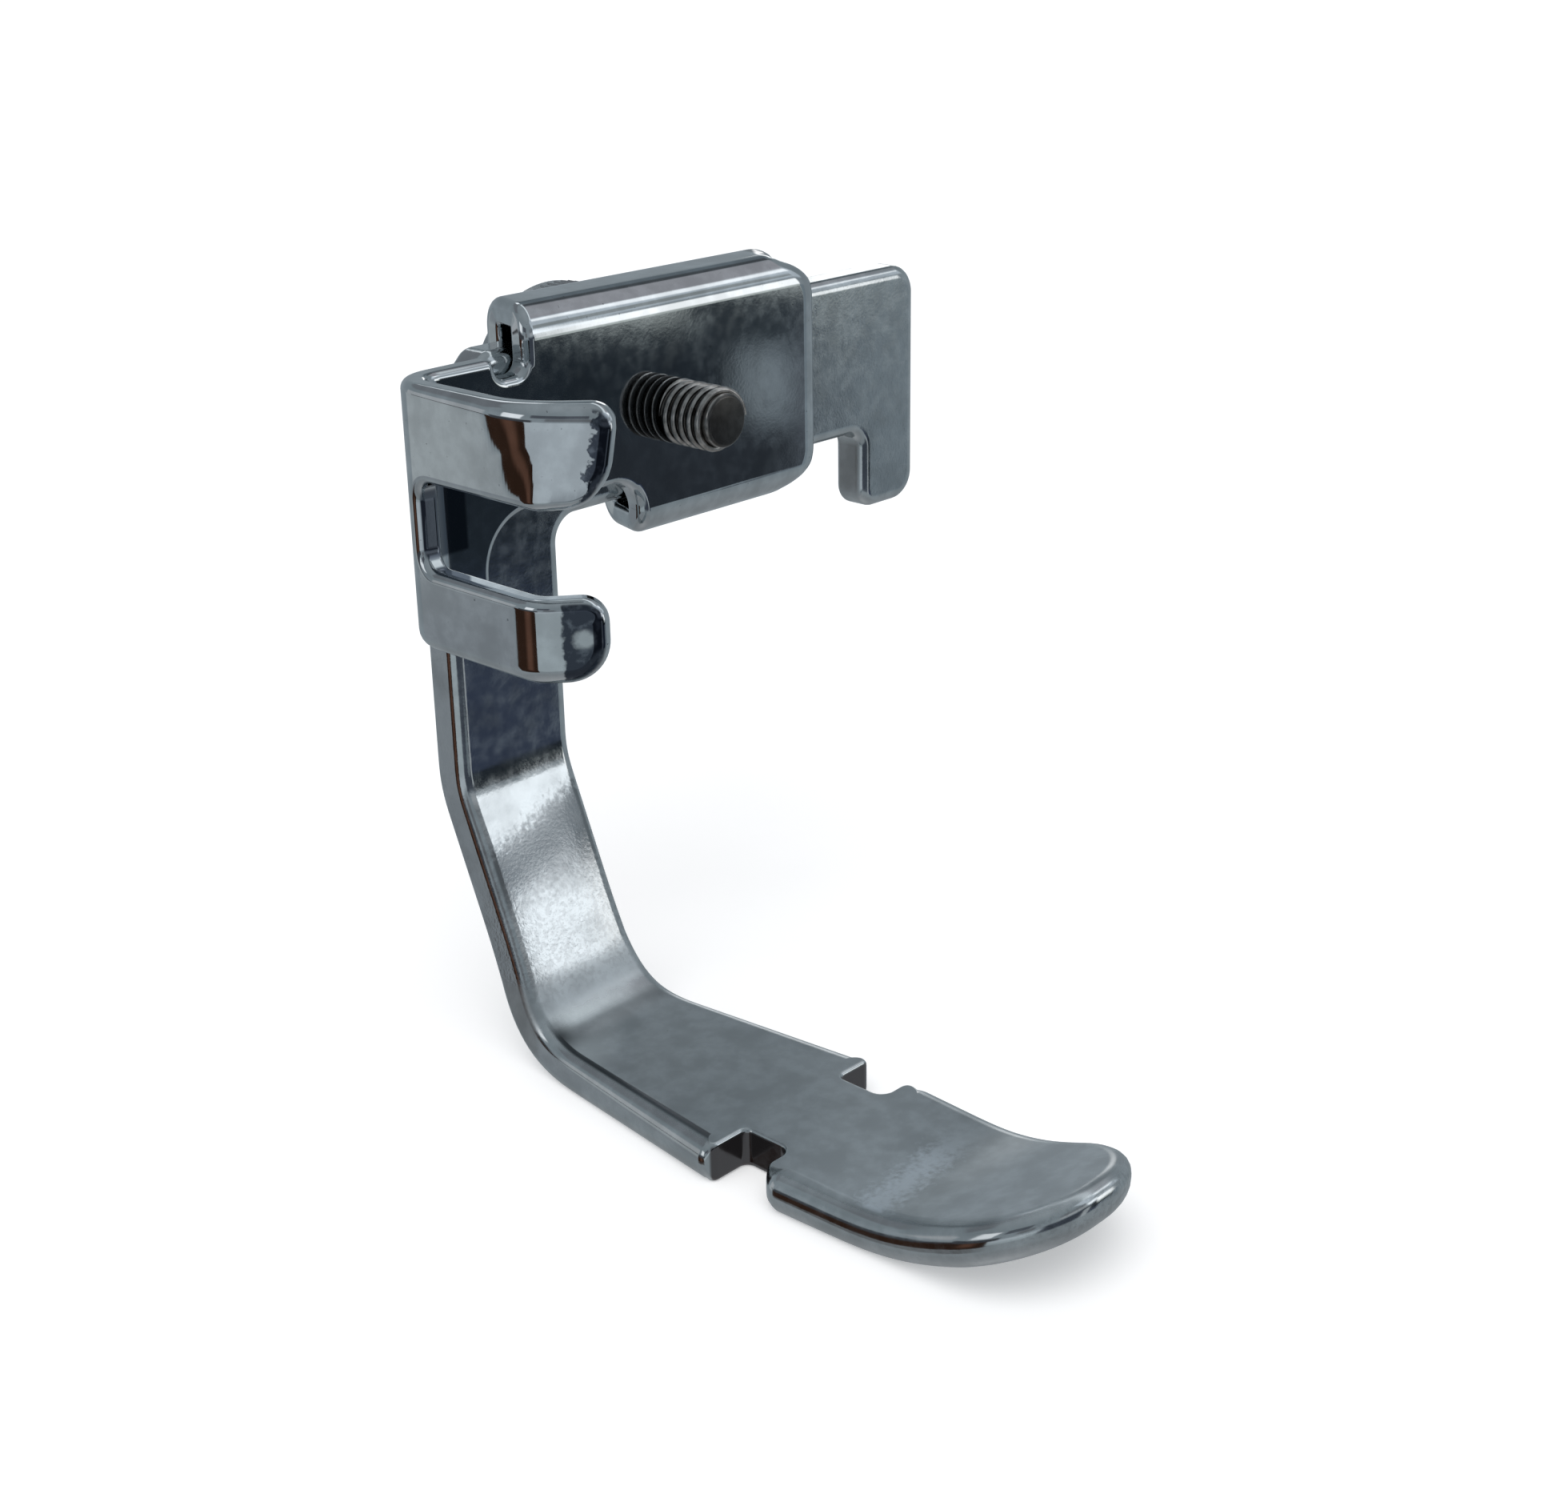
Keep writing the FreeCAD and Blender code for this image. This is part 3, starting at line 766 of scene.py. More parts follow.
# %% Growing a piece with Geometry Nodes
def node_piece(name, build, inputs):
    """A mesh grown by a node tree: the tree gets its named inputs, is evaluated once and kept plain."""
    tree = bpy.data.node_groups.new(name + "_tree", "GeometryNodeTree")
    tree.interface.new_socket("Geometry", in_out="INPUT", socket_type="NodeSocketGeometry")
    ids = {}
    for title, kind, value in inputs:
        item = tree.interface.new_socket(title, in_out="INPUT", socket_type=kind)
        item.default_value = value
        ids[title] = item.identifier
    tree.interface.new_socket("Geometry", in_out="OUTPUT", socket_type="NodeSocketGeometry")
    begin = tree.nodes.new("NodeGroupInput")
    end = tree.nodes.new("NodeGroupOutput")
    build(tree, begin, end)
    carrier = placed(name, bpy.data.meshes.new(name + "_carrier"))
    modifier = carrier.modifiers.new(name, "NODES")
    modifier.node_group = tree
    for title, kind, value in inputs:
        modifier[ids[title]] = value
    bpy.context.view_layer.update()
    graph = bpy.context.evaluated_depsgraph_get()
    mesh = bpy.data.meshes.new_from_object(carrier.evaluated_get(graph), depsgraph=graph)
    carrier.modifiers.clear()
    carrier.data = mesh
    mesh.name = name
    return carrier


def join(tree, a, out, b, into):
    tree.links.new(a.outputs[out], b.inputs[into])


def turned_to_axis(tree, begin, source):
    """Lays geometry made about Z along the screw's axis, with its base at the input Start."""
    move = tree.nodes.new("GeometryNodeTransform")
    move.inputs["Rotation"].default_value = (math.radians(-90), 0, 0)
    tree.links.new(source, move.inputs["Geometry"])
    join(tree, begin, "Start", move, "Translation")
    return move


def end_tree(tree, begin, end, last):
    """Makes instances real, sets the metal and hands the geometry out."""
    realize = tree.nodes.new("GeometryNodeRealizeInstances")
    join(tree, last, "Geometry", realize, "Geometry")
    finish = tree.nodes.new("GeometryNodeSetMaterial")
    join(tree, realize, "Geometry", finish, "Geometry")
    join(tree, begin, "Material", finish, "Material")
    join(tree, finish, "Geometry", end, "Geometry")


# %% Thread
def build_thread(tree, begin, end):
    """A rib swept along a helix, thin where it starts, so that the thread runs in."""
    helix = tree.nodes.new("GeometryNodeCurveSpiral")
    for title, socket in (("Points a turn", "Resolution"), ("Turns", "Rotations"),
                          ("Radius", "Start Radius"), ("Radius", "End Radius"), ("Length", "Height")):
        join(tree, begin, title, helix, socket)
    profile = tree.nodes.new("GeometryNodeCurvePrimitiveCircle")
    profile.inputs["Resolution"].default_value = 6
    join(tree, begin, "Rib", profile, "Radius")
    part = tree.nodes.new("GeometryNodeSplineParameter")
    fade = tree.nodes.new("ShaderNodeMapRange")
    for title, value in (("From Min", 0.0), ("From Max", 0.05), ("To Min", 0.15), ("To Max", 1.0)):
        fade.inputs[title].default_value = value
    join(tree, part, "Factor", fade, "Value")
    thin = tree.nodes.new("GeometryNodeSetCurveRadius")
    join(tree, helix, "Curve", thin, "Curve")
    join(tree, fade, "Result", thin, "Radius")
    sweep = tree.nodes.new("GeometryNodeCurveToMesh")
    join(tree, thin, "Curve", sweep, "Curve")
    join(tree, profile, "Curve", sweep, "Profile Curve")
    sweep.inputs["Fill Caps"].default_value = True
    move = turned_to_axis(tree, begin, sweep.outputs["Mesh"])
    smooth = tree.nodes.new("GeometryNodeSetShadeSmooth")
    join(tree, move, "Geometry", smooth, "Geometry")
    end_tree(tree, begin, end, smooth)


screw_metal = bpy.data.materials.new("screw_steel")
thread_length = thread_end - screw_tip - 0.45
rib = 0.17
thread = node_piece("thumb_screw_thread", build_thread, [
    ("Points a turn", "NodeSocketInt", 48),
    ("Turns", "NodeSocketFloat", thread_length / thread_pitch),
    ("Radius", "NodeSocketFloat", (thread_crest - rib) * MM),
    ("Length", "NodeSocketFloat", thread_length * MM),
    ("Rib", "NodeSocketFloat", rib * MM),
    ("Start", "NodeSocketVector", (screw_x * MM, (screw_tip + 0.3) * MM, screw_z * MM)),
    ("Material", "NodeSocketMaterial", screw_metal)])
print("thread:", round(thread_length / thread_pitch, 1), "turns")


# %% Knurl
def build_knurl(tree, begin, end):
    """A four-sided ridge on every point of a circle, each one turned to face outwards."""
    circle = tree.nodes.new("GeometryNodeMeshCircle")
    join(tree, begin, "Ridges", circle, "Vertices")
    join(tree, begin, "Radius", circle, "Radius")
    ridge = tree.nodes.new("GeometryNodeMeshCone")
    ridge.inputs["Vertices"].default_value = 4
    join(tree, begin, "Ridge width", ridge, "Radius Top")
    join(tree, begin, "Ridge width", ridge, "Radius Bottom")
    join(tree, begin, "Ridge length", ridge, "Depth")
    outward = tree.nodes.new("GeometryNodeInputPosition")
    align = tree.nodes.new("FunctionNodeAlignEulerToVector")
    align.axis = "X"
    align.pivot_axis = "Z"
    join(tree, outward, "Position", align, "Vector")
    place = tree.nodes.new("GeometryNodeInstanceOnPoints")
    join(tree, circle, "Mesh", place, "Points")
    join(tree, ridge, "Mesh", place, "Instance")
    join(tree, align, "Rotation", place, "Rotation")
    move = turned_to_axis(tree, begin, place.outputs["Instances"])
    end_tree(tree, begin, end, move)


ridge_count = 72
ridge_width = math.pi * head_radius / ridge_count
knurl = node_piece("thumb_screw_knurl", build_knurl, [
    ("Ridges", "NodeSocketInt", ridge_count),
    ("Radius", "NodeSocketFloat", (head_radius - ridge_width - 0.01) * MM),
    ("Ridge width", "NodeSocketFloat", ridge_width * MM),
    ("Ridge length", "NodeSocketFloat", (head_rear - head_front - 1.4) * MM),
    ("Start", "NodeSocketVector", (screw_x * MM, (head_front + 0.5) * MM, screw_z * MM)),
    ("Material", "NodeSocketMaterial", screw_metal)])
for piece in (screw_body, thread, knurl):
    places = np.array([vert.co for vert in piece.data.vertices])
    print(piece.name, in_mm(places.min(axis=0)), in_mm(places.max(axis=0)))

# %% [markdown]
# Finish. Chrome over steel is nearly a mirror with a cool grey tint, so most of what it shows is the
# room, and its own clouds, specks and bumps only break that up. A picture of scratches could be
# wrapped round it, but noise in the object's own coordinates has no seams and stays put on the
# metal. Every finish is wired from the same few nodes, so those get short words first.

# %% Words for wiring nodes
class Wiring:
    """Short words for one node tree. A value may be a plain number or the output of another node."""

    def __init__(self, tree):
        self.nodes, self.links = tree.nodes, tree.links

    def number(self, operation, a, b=None):
        """One sum."""
        node = self.nodes.new("ShaderNodeMath")
        node.operation = operation
        for socket, value in zip(node.inputs, (a, b)):
            if isinstance(value, (int, float)):
                socket.default_value = value
            elif value is not None:
                self.links.new(value, socket)
        return node.outputs[0]

    def plus(self, a, b):
        return self.number("ADD", a, b)

    def minus(self, a, b):
        return self.number("SUBTRACT", a, b)

    def times(self, *factors):
        result = factors[0]
        for factor in factors[1:]:
            result = self.number("MULTIPLY", result, factor)
        return result

    def measure(self, vector, axis):
        """How far a vector reaches along an axis."""
        node = self.nodes.new("ShaderNodeVectorMath")
        node.operation = "DOT_PRODUCT"
        node.inputs[1].default_value = axis
        self.links.new(vector, node.inputs[0])
        return node.outputs["Value"]

    def mapped(self, value, low, high, new_low=0.0, new_high=1.0):
        """A value softly mapped from low and high to new_low and new_high, and held beyond them."""
        node = self.nodes.new("ShaderNodeMapRange")
        node.interpolation_type = "SMOOTHSTEP"
        limits = (("From Min", low), ("From Max", high), ("To Min", new_low), ("To Max", new_high))
        for title, limit in limits:
            node.inputs[title].default_value = limit
        self.links.new(value, node.inputs["Value"])
        return node.outputs["Result"]

    def where(self, *limits):
        """A mask of (value, where it is off, where it is fully on) limits, all of which have to hold."""
        return self.times(*[self.mapped(*limit) for limit in limits])

    def blend(self, share, first, second, label=""):
        """Mix of two colours, each one written out or the output of a node."""
        node = self.nodes.new("ShaderNodeMix")
        node.data_type = "RGBA"
        node.label = label
        self.links.new(share, node.inputs["Factor"])
        for socket, colour in (("A", first), ("B", second)):
            if isinstance(colour, tuple):
                node.inputs[socket].default_value = (*colour, 1)
            else:
                self.links.new(colour, node.inputs[socket])
        return node.outputs["Result"]


# %% A bare metal
class Metal(Wiring):
    """A metal material. across, back and up are the place on the part, in millimetres."""

    def __init__(self, material, roughness):
        material.use_nodes = True
        super().__init__(material.node_tree)
        self.material = material
        self.nodes.clear()
        out = self.nodes.new("ShaderNodeOutputMaterial")
        metal = self.nodes.new("ShaderNodeBsdfPrincipled")
        self.links.new(metal.outputs["BSDF"], out.inputs["Surface"])
        self.surface = metal.inputs
        self.surface["Metallic"].default_value = 1.0
        self.surface["Roughness"].default_value = roughness
        coordinates = self.nodes.new("ShaderNodeTexCoord").outputs
        self.place, self.facing = coordinates["Object"], coordinates["Normal"]
        self.across = self.measure(self.place, Vector((1, 0, 0)) / MM)
        self.back = self.measure(self.place, Vector((0, 1, 0)) / MM)
        self.up = self.measure(self.place, Vector((0, 0, 1)) / MM)

    def towards(self, axis):
        """How far the surface faces an axis, from -1 to 1."""
        return self.measure(self.facing, axis)

    def noise(self, size, detail=2.0):
        """Noise whose lumps are about size millimetres."""
        node = self.nodes.new("ShaderNodeTexNoise")
        node.inputs["Scale"].default_value = 1.0 / (size * MM)
        node.inputs["Detail"].default_value = detail
        self.links.new(self.place, node.inputs["Vector"])
        return node.outputs["Fac"]

    def coat(self, tone):
        """Gives the whole metal a tone."""
        self.tone = tone
        self.links.new(tone, self.surface["Base Color"])

    def paint(self, share, colour):
        """Lays a colour over the tone that is there."""
        self.coat(self.blend(share, self.tone, colour))

    def polish(self, gloss):
        """Gives the whole metal a roughness."""
        self.gloss = gloss
        self.links.new(gloss, self.surface["Roughness"])

    def bump(self, heights):
        """Bumps laid over each other, (height, distance in millimetres), from coarse to fine."""
        normal = None
        for height, distance in heights:
            node = self.nodes.new("ShaderNodeBump")
            node.inputs["Strength"].default_value = 1.0
            node.inputs["Distance"].default_value = distance * MM
            self.links.new(height, node.inputs["Height"])
            if normal is not None:
                self.links.new(normal, node.inputs["Normal"])
            normal = node.outputs["Normal"]
        self.links.new(normal, self.surface["Normal"])
        self.finest_bump = node.inputs


# %% Chrome
def chrome(name, colour, roughness, wave, grain, pits):
    """Tumbled chrome plate with clouds, dark specks and duller patches.

    wave and grain are the (size, height) of its bumps in millimetres. More pits means more specks.
    """
    metal = Metal(bpy.data.materials.new(name), roughness)
    cloud = metal.noise(0.6, 4.0)
    dull = tuple(c * 0.94 for c in colour)
    bright = tuple(min(1.0, c * 1.05) for c in colour)
    metal.coat(metal.blend(metal.where((cloud, 0.35, 0.65)), dull, bright))
    specks = metal.where((metal.noise(0.22, 3.0), 0.70 - pits, 0.76 - pits))
    metal.paint(specks, tuple(c * 0.45 for c in colour))
    patches = metal.where((metal.noise(1.8, 6.0), 0.42, 0.66))
    metal.paint(patches, tuple(c * 0.84 for c in colour))
    metal.polish(metal.mapped(cloud, 0.3, 0.7, roughness * 0.75, roughness * 1.35))
    metal.bump([(metal.noise(wave[0]), wave[1]), (metal.noise(grain[0], 3.0), grain[1])])
    return metal


bracket_metal = chrome("bracket_chrome", (0.60, 0.635, 0.655), 0.055, (3.5, 0.002), (0.16, 0.0004), 0.0)
arm_metal = chrome("arm_chrome", (0.60, 0.635, 0.65), 0.13, (3.5, 0.010), (0.15, 0.0085), -0.05)
print("plain chrome:", len(bracket_metal.nodes), "nodes")

# %% [markdown]
# Painted light on the bracket. The tines' ends get a dark, ragged painted reflection, which leaves
# one bright spot on the lower one. The slot's closed end gets painted shade, and the upper roll's end
# at the right is painted darker to dim a reflection there. Such places could be painted by hand into
# a picture. Here each one is a mask of limits on where the metal is and which way it faces, with its
# border frayed by noise.

# %% Painted dark ends of the bracket
def painted_dark_ends(metal):
    """Painted dark reflection on the tines' ends, and painted shade on the ends of the slot and of the upper
    roll.
    """
    # The tines' ends get a dark, ragged painted reflection, which leaves one bright spot on the lower tine.
    fray = metal.noise(0.35, 5.0)
    along = metal.measure(metal.place, Vector((math.sin(tine_turn), -math.cos(tine_turn), 0)) / MM)
    slant = metal.times(metal.minus(29.6, metal.up), 0.2)
    upper = metal.plus(metal.plus(along, slant), metal.times(fray, 1.3))
    upper = metal.where((upper, -7.45, -7.3))
    spot = metal.nodes.new("ShaderNodeVectorMath")
    spot.operation = "DISTANCE"
    spot.inputs[1].default_value = Vector((-4.4, 8.2, 21.95)) * MM
    metal.links.new(metal.place, spot.inputs[0])
    from_spot = metal.plus(metal.times(spot.outputs["Value"], 1 / MM), metal.times(fray, 0.4))
    lower = metal.plus(along, metal.times(fray, 0.5))
    lower = metal.where((lower, -9.26, -9.12), (from_spot, 0.45, 0.75))
    above_slot = metal.where((metal.up, 25.3, 25.5))
    tine_reflection = metal.plus(metal.times(upper, above_slot), metal.times(lower, metal.minus(1.0, above_slot)))
    on_tines = metal.where((metal.back, 9.3, 9.0), (metal.towards((-0.65, -0.76, 0)), 0.62, 0.85))
    reflected_dark = metal.blend(metal.where((fray, 0.5, 0.75)), (0.06, 0.07, 0.09), (0.16, 0.18, 0.21))
    metal.paint(metal.times(tine_reflection, on_tines), reflected_dark)
    # Painted shade in the slot's closed end.
    slot_end_shade = metal.where((metal.back, 14.8, 15.2), (metal.across, -2.8, -3.0),
                           (metal.up, slot_low, slot_low + 0.2), (metal.up, slot_high, slot_high - 0.2),
                           (metal.towards((0, -1, 0)), 0.7, 0.9))
    metal.paint(slot_end_shade, (0.14, 0.16, 0.19))
    # The upper roll's right end is painted darker, a painted shade that dims a bright reflection there.
    roll_end_shade = metal.where((metal.back, 17.9, 18.3), (metal.across, 16.6, 17.1), (metal.up, 32.5, 32.8))
    metal.paint(roll_end_shade, (0.16, 0.17, 0.18))


painted_dark_ends(bracket_metal)
print("bracket's chrome with its marks and painted light:", len(bracket_metal.nodes), "nodes")

# %% [markdown]
# Marks and painted light on the foot arm. A slanting band of painted dark reflection crosses the leg,
# with a fine crinkle below it. The notches' walls get painted shade, and a line along the heel's left
# edge a painted dark reflection. The toe is matt on top, with one band of painted sheen across it.
# The same kind of masks is used again: first for the colour, then for the gloss, and last for the
# grain, which is weak on the toe and on the bar.

# %% Painted light on the leg and matt toe
def painted_light_and_gloss_on_arm(metal):
    """The leg's band of painted dark reflection and its crinkle, painted shade in the notches, a painted dark
    reflection along the heel, a painted sheen on the toe, the matt toe and the fainter grain.
    """
    side = metal.number("ABSOLUTE", metal.across)
    facing_up, facing_left = metal.towards((0, 0, 1)), metal.towards((-1, 0, 0))
    fray = metal.minus(metal.noise(0.25, 6.0), 0.5)
    frayed = metal.plus(metal.up, metal.times(fray, 2.2))
    slanted = metal.minus(frayed, metal.times(metal.across, 0.3))
    # A slanting band of painted dark reflection across the leg.
    band = metal.where((slanted, 10.75, 9.9), (frayed, 6.4, 8.4),
                       (metal.towards((0, -0.924, 0.383)), 0.85, 0.95))
    metal.paint(metal.times(band, 0.8), (0.22, 0.235, 0.245))
    crinkle = metal.where((metal.noise(0.24, 4.0), 0.46, 0.6), (metal.up, 11.0, 9.5), (metal.up, 2.4, 3.6),
                          (metal.towards((0, -1, 0)), 0.4, 0.7))
    metal.paint(metal.times(crinkle, 0.3), (0.30, 0.31, 0.32))
    # Painted shade on the notches' walls.
    in_notch = metal.where((side, 2.65, 2.75), (metal.up, 1.72, 1.6),
                           (metal.back, 1.6, 1.5), (metal.back, -1.35, -1.25))
    metal.paint(in_notch, (0.17, 0.155, 0.155))
    # A painted dark reflection along the heel's left edge.
    painted_heel_dark_line = metal.where((facing_left, 0.03, 0.1), (facing_left, 0.42, 0.28), (facing_up, 0.7, 0.85),
                            (metal.back, 1.6, 2.2), (metal.back, 14.0, 12.5))
    metal.paint(painted_heel_dark_line, (0.14, 0.15, 0.16))
    # A band of painted sheen across the toe.
    from_sheen = metal.minus(metal.plus(metal.back, 6.0), metal.times(metal.across, 0.12))
    from_sheen = metal.number("ABSOLUTE", metal.plus(from_sheen, metal.times(fray, 2.4)))
    painted_sheen = metal.where((from_sheen, 1.2, 0.0), (facing_up, 0.93, 0.98), (metal.across, 3.6, -0.6))
    metal.paint(painted_sheen, (0.86, 0.91, 0.95))

    on_toe = metal.where((metal.back, 14.6, 13.0))
    on_top = metal.times(on_toe, metal.where((facing_up, 0.7, 0.95)))
    on_ankle = metal.where((metal.up, 4.4, 3.2), (metal.back, 13.2, 14.0))
    in_hook = metal.where((metal.across, 22.0, 22.5), (facing_left, 0.7, 0.9))
    gloss = metal.times(metal.gloss, metal.minus(1.0, on_top))
    for mask, roughness in ((on_top, 0.29), (on_ankle, 0.3), (in_hook, 0.4)):
        gloss = metal.plus(gloss, metal.times(mask, roughness))
    metal.polish(gloss)

    off_toe = metal.minus(1.0, metal.times(on_toe, 0.92))
    off_bar = metal.mapped(metal.back, 17.8, 15.5, 0.33, 1.0)
    metal.links.new(metal.times(off_toe, off_bar), metal.finest_bump["Strength"])


painted_light_and_gloss_on_arm(arm_metal)
print("arm's chrome with its marks and painted light:", len(arm_metal.nodes), "nodes")

# %% [markdown]
# Screw steel. The thumb screw has gone brownish. The rear flanks of its thread and its cut end get
# painted shade. Its head, which fingers keep clean, is brighter. One material serves the body, the
# thread and the knurl, because on the real screw they are one piece of steel.

# %% Screw steel
screw_finish = Metal(screw_metal, 0.24)
dirt = screw_finish.where((screw_finish.noise(0.5, 4.0), 0.35, 0.65))
screw_finish.coat(screw_finish.blend(dirt, (0.28, 0.265, 0.25), (0.48, 0.46, 0.44)))
# Painted shade on the thread's rear flanks and on its cut end.
rear_flank = screw_finish.where((screw_finish.towards((0, 1, 0)), -0.1, 0.25))
cut_end = screw_finish.where((screw_finish.back, screw_tip + 0.12, screw_tip + 0.04))
painted_flank_shade = screw_finish.number("MAXIMUM", rear_flank, screw_finish.times(cut_end, 0.85))
screw_finish.paint(painted_flank_shade, (0.038, 0.036, 0.035))
screw_finish.paint(screw_finish.where((screw_finish.back, 21.0, 21.3)), (0.52, 0.54, 0.55))
screw_finish.bump([(screw_finish.noise(0.2, 3.0), 0.002)])
print("screw steel:", len(screw_finish.nodes), "nodes")

# %% [markdown]
# Each finished piece stands for its CAD node and rides on the body that carries it, so that it
# slides with the arm or turns with the screw. The thread and the knurl have no CAD node of their
# own, because in the solids they belong to the screw. They ride with it.

# %% Pieces on their bodies
bracket.data.materials.append(bracket_metal.material)
arm.data.materials.append(arm_metal.material)
screw_body.data.materials.append(screw_metal)
for piece, node, body, slot in ((bracket, "shank_bracket", "bracket", "bracket_chrome"),
                                (arm, "foot_arm", "arm", "arm_chrome"),
                                (screw_body, "thumb_screw", "screw", "screw_steel")):
    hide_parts(node)
    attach(piece, body)
    print(piece.name, "stands for", node, "on the body", body)
for piece in (thread, knurl):
    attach(piece, "screw")
    print(piece.name, "rides on the body screw")

# %% [markdown]
# Camera. Its lens, its place and its three directions were fitted to edges and corners of the part
# in the photo. Aiming a camera by eye is quicker, but half a millimetre already shows here.

# %% Camera
shot = bpy.context.scene
camera = placed("camera", bpy.data.cameras.new("camera"))
camera.data.lens = 52.59
camera.data.sensor_width = 36.0
camera.data.clip_start, camera.data.clip_end = 0.005, 20.0
camera_right = Vector((0.683627, -0.729676, -0.015100))
camera_up = Vector((0.279875, 0.242992, 0.928776))
camera_back = Vector((-0.674036, -0.639162, 0.370334))
camera_place = Vector((-61.2155, -56.4382, 51.1660))
camera_turn = Matrix((camera_right, camera_up, camera_back)).transposed().to_4x4()
camera.matrix_world = Matrix.Translation(camera_place * MM) @ camera_turn
shot.camera = camera
print("camera:", round(camera_place.length, 1), "mm from the sole's middle")

# %% [markdown]
# White ground. The foot stands on a pale table in front of a white backdrop. Brighter light would
# whiten the ground, but it would wash out the metal too. So the world is white only for the camera,
# for reflections and through glass, and lights the part at a plain level. The table glows a little
# by itself and still takes the part's soft shadow.

# %% World
shot.view_settings.view_transform = "Standard"
world = bpy.data.worlds.new("room")
shot.world = world
world.use_nodes = True
sky = Wiring(world.node_tree)
daylight = sky.nodes["Background"]
daylight.inputs["Color"].default_value = (0.95, 0.97, 1.0, 1)
daylight.inputs["Strength"].default_value = 0.55
backdrop = sky.nodes.new("ShaderNodeBackground")
backdrop.inputs["Color"].default_value = (1, 1, 1, 1)
backdrop.inputs["Strength"].default_value = 1.0
path = sky.nodes.new("ShaderNodeLightPath").outputs
showing = sky.number("MAXIMUM", path["Is Camera Ray"], path["Is Glossy Ray"])
showing = sky.number("MAXIMUM", showing, path["Is Transmission Ray"])
seen = sky.nodes.new("ShaderNodeMixShader")
sky.links.new(showing, seen.inputs["Fac"])
sky.links.new(daylight.outputs["Background"], seen.inputs[1])
sky.links.new(backdrop.outputs["Background"], seen.inputs[2])
sky.links.new(seen.outputs["Shader"], sky.nodes["World Output"].inputs["Surface"])
print("world: light at", round(daylight.inputs["Strength"].default_value, 2), "and a white backdrop")

# %% Table
table_reach = 3.0
table_mesh = bpy.data.meshes.new("floor")
table_mesh.from_pydata([(-table_reach, -table_reach, 0), (table_reach, -table_reach, 0),
                        (table_reach, table_reach, 0), (-table_reach, table_reach, 0)], [], [(0, 1, 2, 3)])
floor = placed("floor", table_mesh)
floor_paint = bpy.data.materials.new("floor_paint")
floor_paint.use_nodes = True
paint = floor_paint.node_tree.nodes["Principled BSDF"].inputs
paint["Base Color"].default_value = (0.92, 0.92, 0.92, 1)
paint["Roughness"].default_value = 1.0
paint["Emission Color"].default_value = (1, 1, 1, 1)
paint["Emission Strength"].default_value = 0.3
table_mesh.materials.append(floor_paint)
floor.visible_glossy = False
print("table:", 2 * table_reach, "m wide")


# %% [markdown]
# Room. What polished metal shows is its surroundings, so those are set up as well: a dome of plain
# walls with light and dark panels, seen only in the metal. Real lamps and boards would do too, but
# each of them would also light the table and cast a shadow. The dome's colour depends on the
# direction alone, so every panel sits just where a reflection in the photo asks for it.

# %% Dome
def heading(azimuth, elevation):
    """Direction of a place on the dome, from angles in degrees."""
    a, e = math.radians(azimuth), math.radians(elevation)
    return Vector((math.cos(a) * math.cos(e), math.sin(a) * math.cos(e), math.sin(e)))


def panel_mask(walls, direction, azimuth, elevation, half_wide, half_tall, tilt, softness):
    """1 inside a panel of the dome and 0 outside it."""
    ahead = heading(azimuth, elevation)
    across = Vector((0, 0, 1)).cross(ahead).normalized()
    upward = ahead.cross(across)
    c, s = math.cos(math.radians(tilt)), math.sin(math.radians(tilt))
    across, upward = across * c + upward * s, upward * c - across * s
    sideways = walls.number("ARCTAN2", walls.measure(direction, across), walls.measure(direction, ahead))
    upwards = walls.number("ARCSINE", walls.measure(direction, upward))
    limits = []
    for angle, half in ((sideways, half_wide), (upwards, half_tall)):
        outer, inner = math.radians(half + softness / 2), math.radians(half - softness / 2)
        limits.append((walls.number("ABSOLUTE", angle), outer, inner))
    return walls.where(*limits)


def dome_paint(name, levels, panels):
    """Glow of the dome: the walls' colours by height, and the panels laid over them one by one."""
    paint = bpy.data.materials.new(name)
    paint.use_nodes = True
    paint.cycles.emission_sampling = "NONE"
    walls = Wiring(paint.node_tree)
    walls.nodes.clear()
    unit = walls.nodes.new("ShaderNodeVectorMath")
    unit.operation = "NORMALIZE"
    walls.links.new(walls.nodes.new("ShaderNodeTexCoord").outputs["Object"], unit.inputs[0])
    direction = unit.outputs["Vector"]
    height = walls.number("ARCSINE", walls.measure(direction, (0, 0, 1)))
    shades = walls.nodes.new("ShaderNodeValToRGB")
    walls.links.new(walls.plus(walls.number("DIVIDE", height, math.pi), 0.5), shades.inputs["Fac"])
    stops = shades.color_ramp.elements
    while len(stops) < len(levels):
        stops.new(0.5)
    for stop, (elevation, shade) in zip(stops, levels):
        stop.position = elevation / 180 + 0.5
    for stop, (elevation, shade) in zip(stops, levels):
        stop.color = (*shade, 1)
    colour = shades.outputs["Color"]
    for title, *shape, light in panels:
        colour = walls.blend(panel_mask(walls, direction, *shape), colour, light, title)
    glow = walls.nodes.new("ShaderNodeEmission")
    walls.links.new(colour, glow.inputs["Color"])
    out = walls.nodes.new("ShaderNodeOutputMaterial")
    walls.links.new(glow.outputs["Emission"], out.inputs["Surface"])
    return paint


def surround(name, levels, panels, radius=3.0):
    """A room for the metal alone: a dome that neither the camera nor the table sees.

    levels: (elevation, colour) of the plain walls. panels: (name, azimuth, elevation, half width,
    half height, tilt, softness, colour), angles in degrees, each laid over the ones before it.
    """
    bm = bmesh.new()
    bmesh.ops.create_icosphere(bm, subdivisions=4, radius=radius)
    mesh = bpy.data.meshes.new(name)
    bm.to_mesh(mesh)
    bm.free()
    mesh.materials.append(dome_paint(name, levels, panels))
    dome = placed(name, mesh)
    dome.visible_camera = False
    dome.visible_diffuse = False
    dome.visible_shadow = False
    return dome


